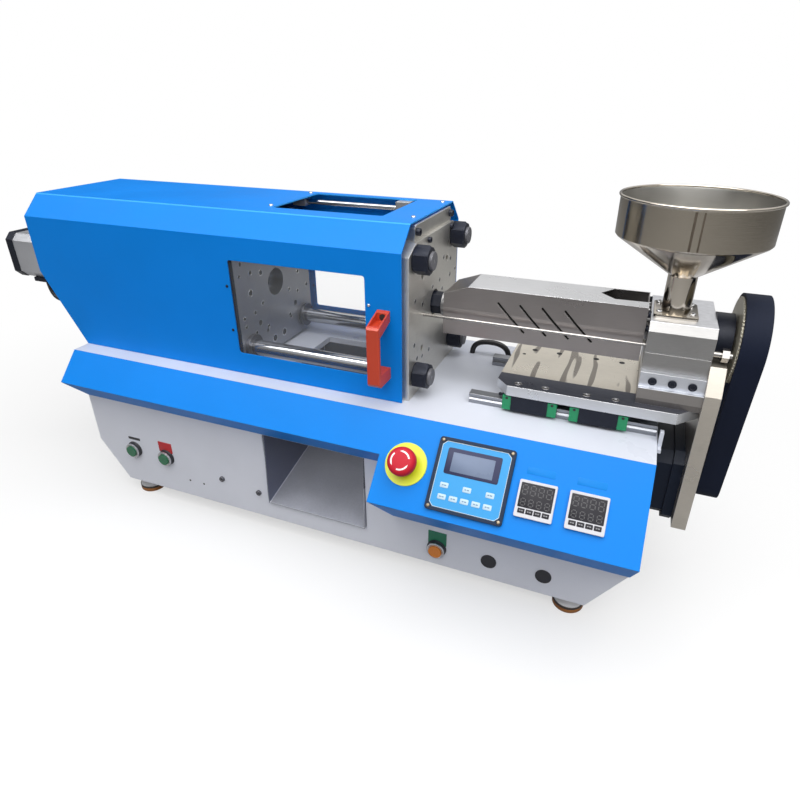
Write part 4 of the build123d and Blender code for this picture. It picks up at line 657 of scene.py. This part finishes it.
bolt_rows = (-191, -153, -97.5, -60)
sunk_screw = [(5.2, 0), (5.2, 0.3), (4.6, 0.5), (2.4, 0.5), (2.2, 0.1), (0, 0.1)]
carriage_screws = [turned(sunk_screw, facing_up(x, 72, CARRIAGE_TOP), 32) for x in bolt_rows]
piece("carriage_screws", carriage_screws, screw_steel, "carriage")
# Painted shade: dark discs for the holes in the carriage top
carriage_hole_shade = [drilled(4.2, facing_up(x, 199, CARRIAGE_TOP)) for x in bolt_rows]
carriage_hole_shade.append(drilled(2.6, facing_up(-204, 178, CARRIAGE_TOP)))
piece("carriage_hole_shade", carriage_hole_shade, painted_hole_shade, "carriage")
riser_screws = [cap_screw(5.4, 1.6, facing_front(x, 80, 74.5)) for x in (-20, 4, 28)]
piece("riser_screws", riser_screws, black_steel, "carriage")
cover_screws = [cap_screw(4.2, 3.4, facing_left(-36, y, z)) for y in (116, 180) for z in (132, 152)]
piece("cover_end_screws", cover_screws, black_steel, "carriage")
block_sides = ((facing_front, 62), (facing_rear, 234))
block_caps = (-203.5, -140, -110, -46.5)
# Painted shade: dark discs for the holes in the block end caps
cap_hole_shade = [drilled(2.0, face(x, y, 22.5)) for x in block_caps for face, y in block_sides]
piece("block_cap_hole_shade", cap_hole_shade, painted_hole_shade, "carriage")
nipple = [(3.2, 0), (3.2, 2.5), (2.2, 3.2), (2.2, 6), (2.9, 7), (1.6, 9), (0, 9.2)]
nipples = [turned(nipple, facing_left(-209.7, y, 19), 24) for y in (78, 218)]
piece("grease_nipples", nipples, black_steel, "carriage")
lining = tablet(150, 62, 2, 1.0, 0.2, facing_front(-165, 117, 119))
piece("cover_lining", [lining], insulation, "carriage")

# ---- hopper

hopper_axis = facing_up(HOPPER_X, AXIS_Y, 0)
outer_profile = [(16.5, 154), (18, 154), (18, 199), (19.5, 200.4), (89.6, 246.2), (91.5, 248.4), (91.5, 293.0),
                 (91.6, 294.6)]
inner_profile = [(90.6, 295.0), (90.0, 293), (90.0, 248.8), (88.4, 247.0), (18.0, 201.0), (16.5, 199), (16.5, 154)]
funnel = turned(outer_profile, hopper_axis, HOPPER_POINTS, OPEN_ENDS)
funnel_lining = turned(inner_profile, hopper_axis, HOPPER_POINTS, OPEN_ENDS)
rim_section = np.array([91.8, 296.0]) + around(1.9, ring(12) - math.pi / 2)
rolled_rim = turned_ring(rim_section, hopper_axis, HOPPER_POINTS)
flange = tablet(54, 62, 5, 4, 0.5, facing_up(HOPPER_X, AXIS_Y - 4, 150))
hopper_made = piece("hopper_funnel", [funnel, rolled_rim, flange], polished_steel, "carriage",
                    35)
piece("hopper_lining", [funnel_lining], satin_steel, "carriage", 35, inward=True)
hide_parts("hopper")


def on_hopper(turn, height):
    """A place on the hopper's upright wall, by the angle round its axis."""
    outward = np.array([math.cos(turn), math.sin(turn), 0])
    return frame_of(spot(HOPPER_X, AXIS_Y, height) + outward * 0.0914, (-outward[1], outward[0], 0), (0, 0, 1))


seam_strips = ((2.8, -94), (2.0, -88.4))
seam_lines = [tablet(w, 43.6, 0.5, 0.25, 0.1, on_hopper(math.radians(a), 271)) for w, a in seam_strips]
piece("hopper_seam", seam_lines, seam_steel, "carriage")
flange_screws = [button_screw(4, 2.4, facing_up(HOPPER_X + a * 20, AXIS_Y + b * 20, 154)) for a, b in CORNERS]
piece("hopper_screws", flange_screws, screw_steel, "carriage")
bracket = [tablet(5, 26, 0.8, 9, 0.5, facing_rear(3.5, 56, 2)),
           tablet(4.8, 5, 0.8, 17, 0.5, facing_rear(3.5, 47, -8.4))]
piece("deck_end_bracket", bracket, white_paint, "frame")

# ---- console


def cut_ring(width, height, cut):
    """Outline of a rectangle whose corners are cut off straight, eight corners in all."""
    a, b = width / 2, height / 2
    return np.array([(a, b - cut), (a - cut, b), (cut - a, b), (-a, b - cut),
                     (-a, cut - b), (cut - a, -b), (a - cut, -b), (a, cut - b)], float)


def border(outer, inner, height, place):
    """Flat closed ring between two outlines: up the outer one, across, and down the inner one."""
    return stack([outer, outer, inner, inner, outer], [0, height, height, 0, 0], place, OPEN_ENDS)


display_place = on_panel(DISPLAY_X, DISPLAY_DOWN, FILM_FACE)
film_edge = cut_ring(95.2, 90.2, 5.6)
film_border = border(cut_ring(95.9, 90.9, 0.2), film_edge, 0.5, display_place)
piece("display_border", [film_border], display_frame, "frame")
film_line = border(film_edge, cut_ring(93.8, 88.8, 5.3), 0.4, display_place)
piece("display_edge_line", [film_line], display_line, "frame")
display_screws = [
    button_screw(2.7, 1.3, on_panel(DISPLAY_X + a * 47.8, DISPLAY_DOWN + b * 45.4, 4.9)) for a, b in CORNERS
]
piece("display_screws", display_screws, bronze_bush, "frame")
window = tablet(74.5, 36, 2.5, 0.45, 0.2, on_panel(-221.8, 50, FILM_FACE))
piece("display_window", [window], display_black, "frame")
screen = tablet(58, 26.5, 0.8, 0.25, 0.1, on_panel(-222, 50.8, 4.2))
piece("display_screen", [screen], display_screen, "frame")
key_places = [(x, 83.6) for x in (-253.6, -222.2, -191)]
key_places += [(x, 99.2) for x in (-253.5, -237.7, -222.3, -206.7, -191.2)]
display_keys = [tablet(11.5, 7.2, 1.4, 0.5, 0.3, on_panel(x, down, 3.75)) for x, down in key_places]
piece("display_keys", display_keys, key_film, "frame")
display_marks = [
    tablet(width, 1.7, 0.5, 0.12, 0.05, on_panel(x + aside, down, 4.22))
    for x, down in key_places for width, aside in ((2.6, -1.9), (3.2, 1.6))
]
piece("display_key_marks", display_marks, key_mark, "frame")

controller_key_x = [x + step for x in CONTROLLERS for step in (-15.4, -5.1, 5.1, 15.4)]
controller_key_down = 92.9
controller_keys = [
    tablet(9.0, 6.2, 0.8, 0.7, 0.3, on_panel(x, controller_key_down, 4.8)) for x in controller_key_x
]
piece("controller_keys", controller_keys, controller_dark, "frame")
controller_marks = [
    tablet(width, 1.3, 0.4, 0.08, 0.03, on_panel(x + aside, controller_key_down, 5.5), 2)
    for x in controller_key_x for width, aside in ((2.0, -1.5), (2.4, 1.3))
]
piece("controller_key_marks", controller_marks, controller_mark, "frame")
windows = [tablet(42.6, 31.8, 0.8, 0.35, 0.15, on_panel(x, 72.4, 5.0)) for x in CONTROLLERS]
piece("controller_windows", windows, controller_dark, "frame")


def digit(x, down, width, height):
    """Seven bars of one unlit digit: three level ones and four upright ones, each a thin rounded plate."""
    thick = width * 0.17

    def bar(bar_width, bar_height, aside, lower):
        place = on_panel(x + aside, down + lower, DIGIT_FACE)
        return tablet(bar_width, bar_height, thick / 2, 0.08, 0.03, place, 2)

    level = [bar(width * 0.66, thick, 0, o * height / 2) for o in (-1, 0, 1)]
    return level + [bar(thick, height * 0.4, a * width * 0.44, b * height / 4) for a, b in CORNERS]


digits = []
for middle in CONTROLLERS:
    for step in (-1.5, -0.5, 0.5, 1.5):
        digits += digit(middle + step * 10.2, 65.6, 7.0, 12.0)
        digits += digit(middle + step * 10.2, 81.4, 6.4, 8.8)
piece("controller_digits", digits, digit_unlit, "frame")
labels = [tablet(36.5, 9.5, 0.8, 0.3, 0.12, on_panel(x, 39.5, 0)) for x in (-133, -69.3)]
piece("console_labels", labels, label_blue, "frame")

# ---- emergency stop

estop_place = on_panel(ESTOP_X, ESTOP_DOWN, 0)
head_profile = np.array([(8, 15.5), (17.4, 15.6), (19.4, 16.1), (20.2, 17.4), (20.2, 22.6), (19.7, 25.2),
                         (18.2, 27.8), (16.0, 29.3), (14.6, 29.9), (10, 30.3), (5, 30.5), (0, 30.5)])
mushroom = turned(head_profile, estop_place, 96)
estop_cap = piece("estop_mushroom", [mushroom], estop_red, "estop_head", 40)
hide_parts("estop_head")


def release_arrow(start):
    """Curved arrow on the crown: an arc of the angle by the radius, narrowing to a point at its end, lifted along
    the crown's profile by a hair."""
    along = np.linspace(0, 1, 25)
    across = np.linspace(-1, 1, 5)
    half = np.where(along < 0.8, 1.15, 1.15 * (1 - along) / 0.2)
    radius = 12.6 + across[None, :] * half[:, None]
    turn = start + math.radians(84) * along[:, None] + 0 * across[None, :]
    crown = head_profile[::-1][:6]
    lift = np.interp(radius, crown[:, 0], crown[:, 1]) + 0.12
    local = np.stack([radius * np.cos(turn), radius * np.sin(turn), lift], axis=-1).reshape(-1, 3)
    origin, axes = estop_place
    count = len(across)
    corner = (np.arange(len(along) - 1)[:, None] * count + np.arange(count - 1)[None, :]).ravel()
    quads = np.stack([corner, corner + count, corner + count + 1, corner + 1], axis=1)
    return origin + local @ axes / 1000, [quads]


arrows = [release_arrow(math.radians(a)) for a in (20, 140, 260)]
piece("estop_arrows", arrows, estop_white, "estop_head")

# ---- base front

button_spots = [facing_front(x, BASE_FRONT, z) for x, z in ((-881, -190.5), (-806, -190.5), (-281.5, -231))]
collar = [(15.6, 0), (15.6, 1.6), (15.0, 2.6), (14.6, 2.8), (14.4, 6.4), (14.05, 6.5), (14.05, 0)]
bezel = [(14.2, 6.3), (14.25, 7.6), (13.7, 8.9), (12.6, 9.3), (11.6, 9.0), (10.9, 8.0), (10.9, 6.5)]
piece("button_collars", [turned_ring(collar, place) for place in button_spots], plug_black, "frame")
piece("button_bezels", [turned_ring(bezel, place) for place in button_spots], screw_steel, "frame")
red_label = tablet(30, 21, 1, 0.8, 0.3, facing_front(-806, BASE_FRONT, -170))
piece("button_label_red", [red_label], label_red, "frame")
black_label = tablet(27, 5, 0.6, 0.6, 0.2, facing_front(-878, BASE_FRONT, -167.5))
piece("button_label_black", [black_label], label_black, "frame")
green_label = tablet(30, 25, 1, 0.8, 0.3, facing_front(-281, BASE_FRONT, -211.5))
piece("button_label_green", [green_label], label_green, "frame")
# Painted shade: dark discs for the holes in the base front
base_hole_shade = [drilled(2.0, facing_front(x, BASE_FRONT, -231)) for x in (-762, -731)]
piece("base_hole_shade", base_hole_shade, painted_hole_shade, "frame")
base_bolts = [cap_screw(5, 3.5, facing_front(x, BASE_FRONT, z)) for x, z in ((-686, -207), (-610, -216))]
piece("base_bolts", base_bolts, dark_steel, "frame")

# ---- feet

foot_spots = [facing_up(x, y, FLOOR) for x in (-890, -76) for y in (33, 270)]
cup_profile = [(22.3, 9.2), (22.3, 11.2), (21.6, 11.0), (14, 9.9), (7.5, 9.8), (6.6, 11.5), (5.2, 15), (5, 31.9),
               (0, 31.9)]
rim_profile = [(22.2, 7.6), (23.4, 7.7), (23.5, 11.2), (23.1, 11.7), (22.4, 11.5), (22.2, 10.8)]
pad_profile = [(20.5, 0), (22.6, 0.4), (23.5, 1.6), (23.5, 7.4), (23.2, 7.8), (21.0, 9.4), (0, 9.4)]
cups = [turned(cup_profile, place) for place in foot_spots]
dishes = piece("foot_dishes", cups, foot_steel, "frame", 40)
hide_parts("foot_cups")
rims = [turned_ring(rim_profile, place) for place in foot_spots]
piece("foot_rims", rims, foot_rim, "frame", 40)
pads = [turned(pad_profile, place) for place in foot_spots]
soles = piece("foot_soles", pads, foot_resin, "frame", 40)
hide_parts("foot_pads")

# ---- leads


def lead(name, route, diameter):
    """Smooth line whose control points are the lead's route, with a round section."""
    line = bpy.data.curves.new(name, "CURVE")
    line.dimensions = "3D"
    spline = line.splines.new("NURBS")
    spline.points.add(len(route) - 1)
    for point, place in zip(spline.points, route):
        point.co = (*spot(*place), 1)
    spline.order_u = 3
    spline.use_endpoint_u = True
    spline.resolution_u = 16
    line.bevel_depth = diameter / 2000
    line.bevel_resolution = 5
    line.materials.append(lead_jacket)
    made = bpy.data.objects.new(name, line)
    bpy.context.scene.collection.objects.link(made)
    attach(made, "frame")
    return made


motor_route = [(-1158, 128, 70), (-1158, 128, 36), (-1118, 128, 30), (-954, 128, 30)]
heater_route = [(-306, 248, 0), (-306, 248, 24), (-242, 248, 24), (-242, 248, 0)]
motor_lead = lead("clamp_motor_lead", motor_route, 9)
heater_lead = lead("heater_lead", heater_route, 9)
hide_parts("leads")

# ---- stage

FLOOR_HALF = 9
WALL_RADIUS, WALL_FOOT, WALL_TOP, WALL_POINTS = 3.2, 0.01, 2.5, 64
ROOF_HEIGHT, ROOF_GLOW = 3.2, 6.2


def stage_material(name):
    """New finish for the stage, with its node tree and the output that gives each point's place."""
    material = bpy.data.materials.new(name)
    material.use_nodes = True
    tree = material.node_tree
    return material, tree, add_node(tree, "ShaderNodeTexCoord").outputs["Object"]


def stage_sheet(name, points, faces, material):
    """Stage mesh in one finish."""
    mesh = bpy.data.meshes.new(name)
    mesh.from_pydata(points, [], faces)
    mesh.materials.append(material)
    made = bpy.data.objects.new(name, mesh)
    bpy.context.scene.collection.objects.link(made)
    return made


def floor_material():
    """White floor that fades into the background away from the machine, where the camera sees it directly or
    through the panes. It throws less light back than it shows."""
    material, tree, place = stage_material("studio_floor")
    link = tree.links.new
    ray = add_node(tree, "ShaderNodeLightPath").outputs
    distance = add_node(tree, "ShaderNodeVectorMath", operation="LENGTH")
    link(place, distance.inputs[0])
    fade = spread_to(tree, distance.outputs["Value"], 0.55, 1.0, 0.55, 1.5, interpolation_type="SMOOTHSTEP")
    seen = combine(tree, "MAXIMUM", ray["Is Camera Ray"], ray["Is Transmission Ray"])
    shine = combine(tree, "MULTIPLY_ADD", ray["Is Glossy Ray"], 0.32, ray["Is Camera Ray"])
    shader = tree.nodes["Principled BSDF"]
    shader.inputs["Roughness"].default_value = 0.9
    link(blend(tree, shine, (0.21, 0.21, 0.21), (0.9, 0.9, 0.9)), shader.inputs["Base Color"])
    glow = add_node(tree, "ShaderNodeEmission", {"Color": (1, 1, 1, 1)})
    mix = add_node(tree, "ShaderNodeMixShader")
    link(combine(tree, "MULTIPLY", fade, seen), mix.inputs["Fac"])
    link(shader.outputs["BSDF"], mix.inputs[1])
    link(glow.outputs["Emission"], mix.inputs[2])
    link(mix.outputs["Shader"], tree.nodes["Material Output"].inputs["Surface"])
    return material


floor_corners = [(a * FLOOR_HALF, b * FLOOR_HALF, 0) for a, b in ((-1, -1), (1, -1), (1, 1), (-1, 1))]
stage_sheet("studio_floor", floor_corners, [(0, 1, 2, 3)], floor_material())

world = bpy.data.worlds.new("studio")
bpy.context.scene.world = world
world.use_nodes = True
sky = world.node_tree
background = sky.nodes["Background"]
background.inputs["Color"].default_value = (1, 1, 1, 1)
sky_ray = add_node(sky, "ShaderNodeLightPath").outputs
sky_seen = combine(sky, "MAXIMUM", sky_ray["Is Camera Ray"], sky_ray["Is Glossy Ray"])
sky_seen = combine(sky, "MAXIMUM", sky_seen, sky_ray["Is Transmission Ray"])
sky.links.new(spread_to(sky, sky_seen, 0.33, 1.0, 0, 1), background.inputs["Strength"])


def lamp(name, place, aim, size, power):
    """Soft square lamp at a place, turned to its aim."""
    light = bpy.data.lights.new(name, "AREA")
    light.size = size
    light.energy = power
    made = bpy.data.objects.new(name, light)
    made.location = place
    made.rotation_euler = (Vector(aim) - Vector(place)).to_track_quat("-Z", "Y").to_euler()
    bpy.context.scene.collection.objects.link(made)


lamp("top_lamp", (0.6, -0.85, 2.5), (0.05, 0, 0.3), 3.4, 102)


def reflected_only(name, points, faces, low, high, far_left):
    """Stage sheet that only reflections see, its glow rising from low near the floor to high above, and falling to
    a share of that at the far left."""
    glow, tree, place = stage_material(name)
    link = tree.links.new
    apart = add_node(tree, "ShaderNodeSeparateXYZ")
    link(place, apart.inputs["Vector"])
    rise = spread_to(tree, apart.outputs["Z"], low, high, 0.6, 2.0, interpolation_type="SMOOTHSTEP")
    side = spread_to(tree, apart.outputs["X"], far_left, 1, -2.5, -1.2, interpolation_type="SMOOTHSTEP")
    lit = add_node(tree, "ShaderNodeEmission")
    link(combine(tree, "MULTIPLY", rise, side), lit.inputs["Strength"])
    link(lit.outputs["Emission"], tree.nodes["Material Output"].inputs["Surface"])
    made = stage_sheet(name, points, faces, glow)
    made.visible_camera = False
    made.visible_diffuse = False
    made.visible_transmission = False
    made.visible_shadow = False


wall_side = around(WALL_RADIUS, ring(WALL_POINTS))
wall_points = np.concatenate([np.c_[wall_side, np.full(WALL_POINTS, z)] for z in (WALL_FOOT, WALL_TOP)])
wall_row = np.arange(WALL_POINTS)
wall_next = np.roll(wall_row, -1)
wall_faces = np.stack([wall_row, wall_next, wall_next + WALL_POINTS, wall_row + WALL_POINTS], axis=1)
reflected_only("studio_wall", wall_points.tolist(), wall_faces.tolist(), 0.2, 0.85, 0.12)
roof_points = [(x, y, ROOF_HEIGHT) for x, y in ((-3.4, -2.0), (-3.4, -0.7), (0.6, -0.7), (0.6, -2.0))]
reflected_only("studio_roof", roof_points, [(0, 1, 2, 3)], ROOF_GLOW, ROOF_GLOW, 1)

# ---- camera

CAMERA_TILT, CAMERA_TURN = math.radians(27.21), math.radians(21.69)
camera_data = bpy.data.cameras.new("photo_camera")
camera_data.lens = 26.32
camera_data.sensor_width = 36
camera_data.shift_x = -0.0087
camera_data.shift_y = -0.0158
camera = bpy.data.objects.new("photo_camera", camera_data)
camera.location = (0.49144, -0.77401, 0.71167)
camera.rotation_euler = (math.pi / 2 - CAMERA_TILT, 0, CAMERA_TURN)
bpy.context.scene.collection.objects.link(camera)
bpy.context.scene.camera = camera
bpy.context.scene.view_settings.view_transform = "Standard"
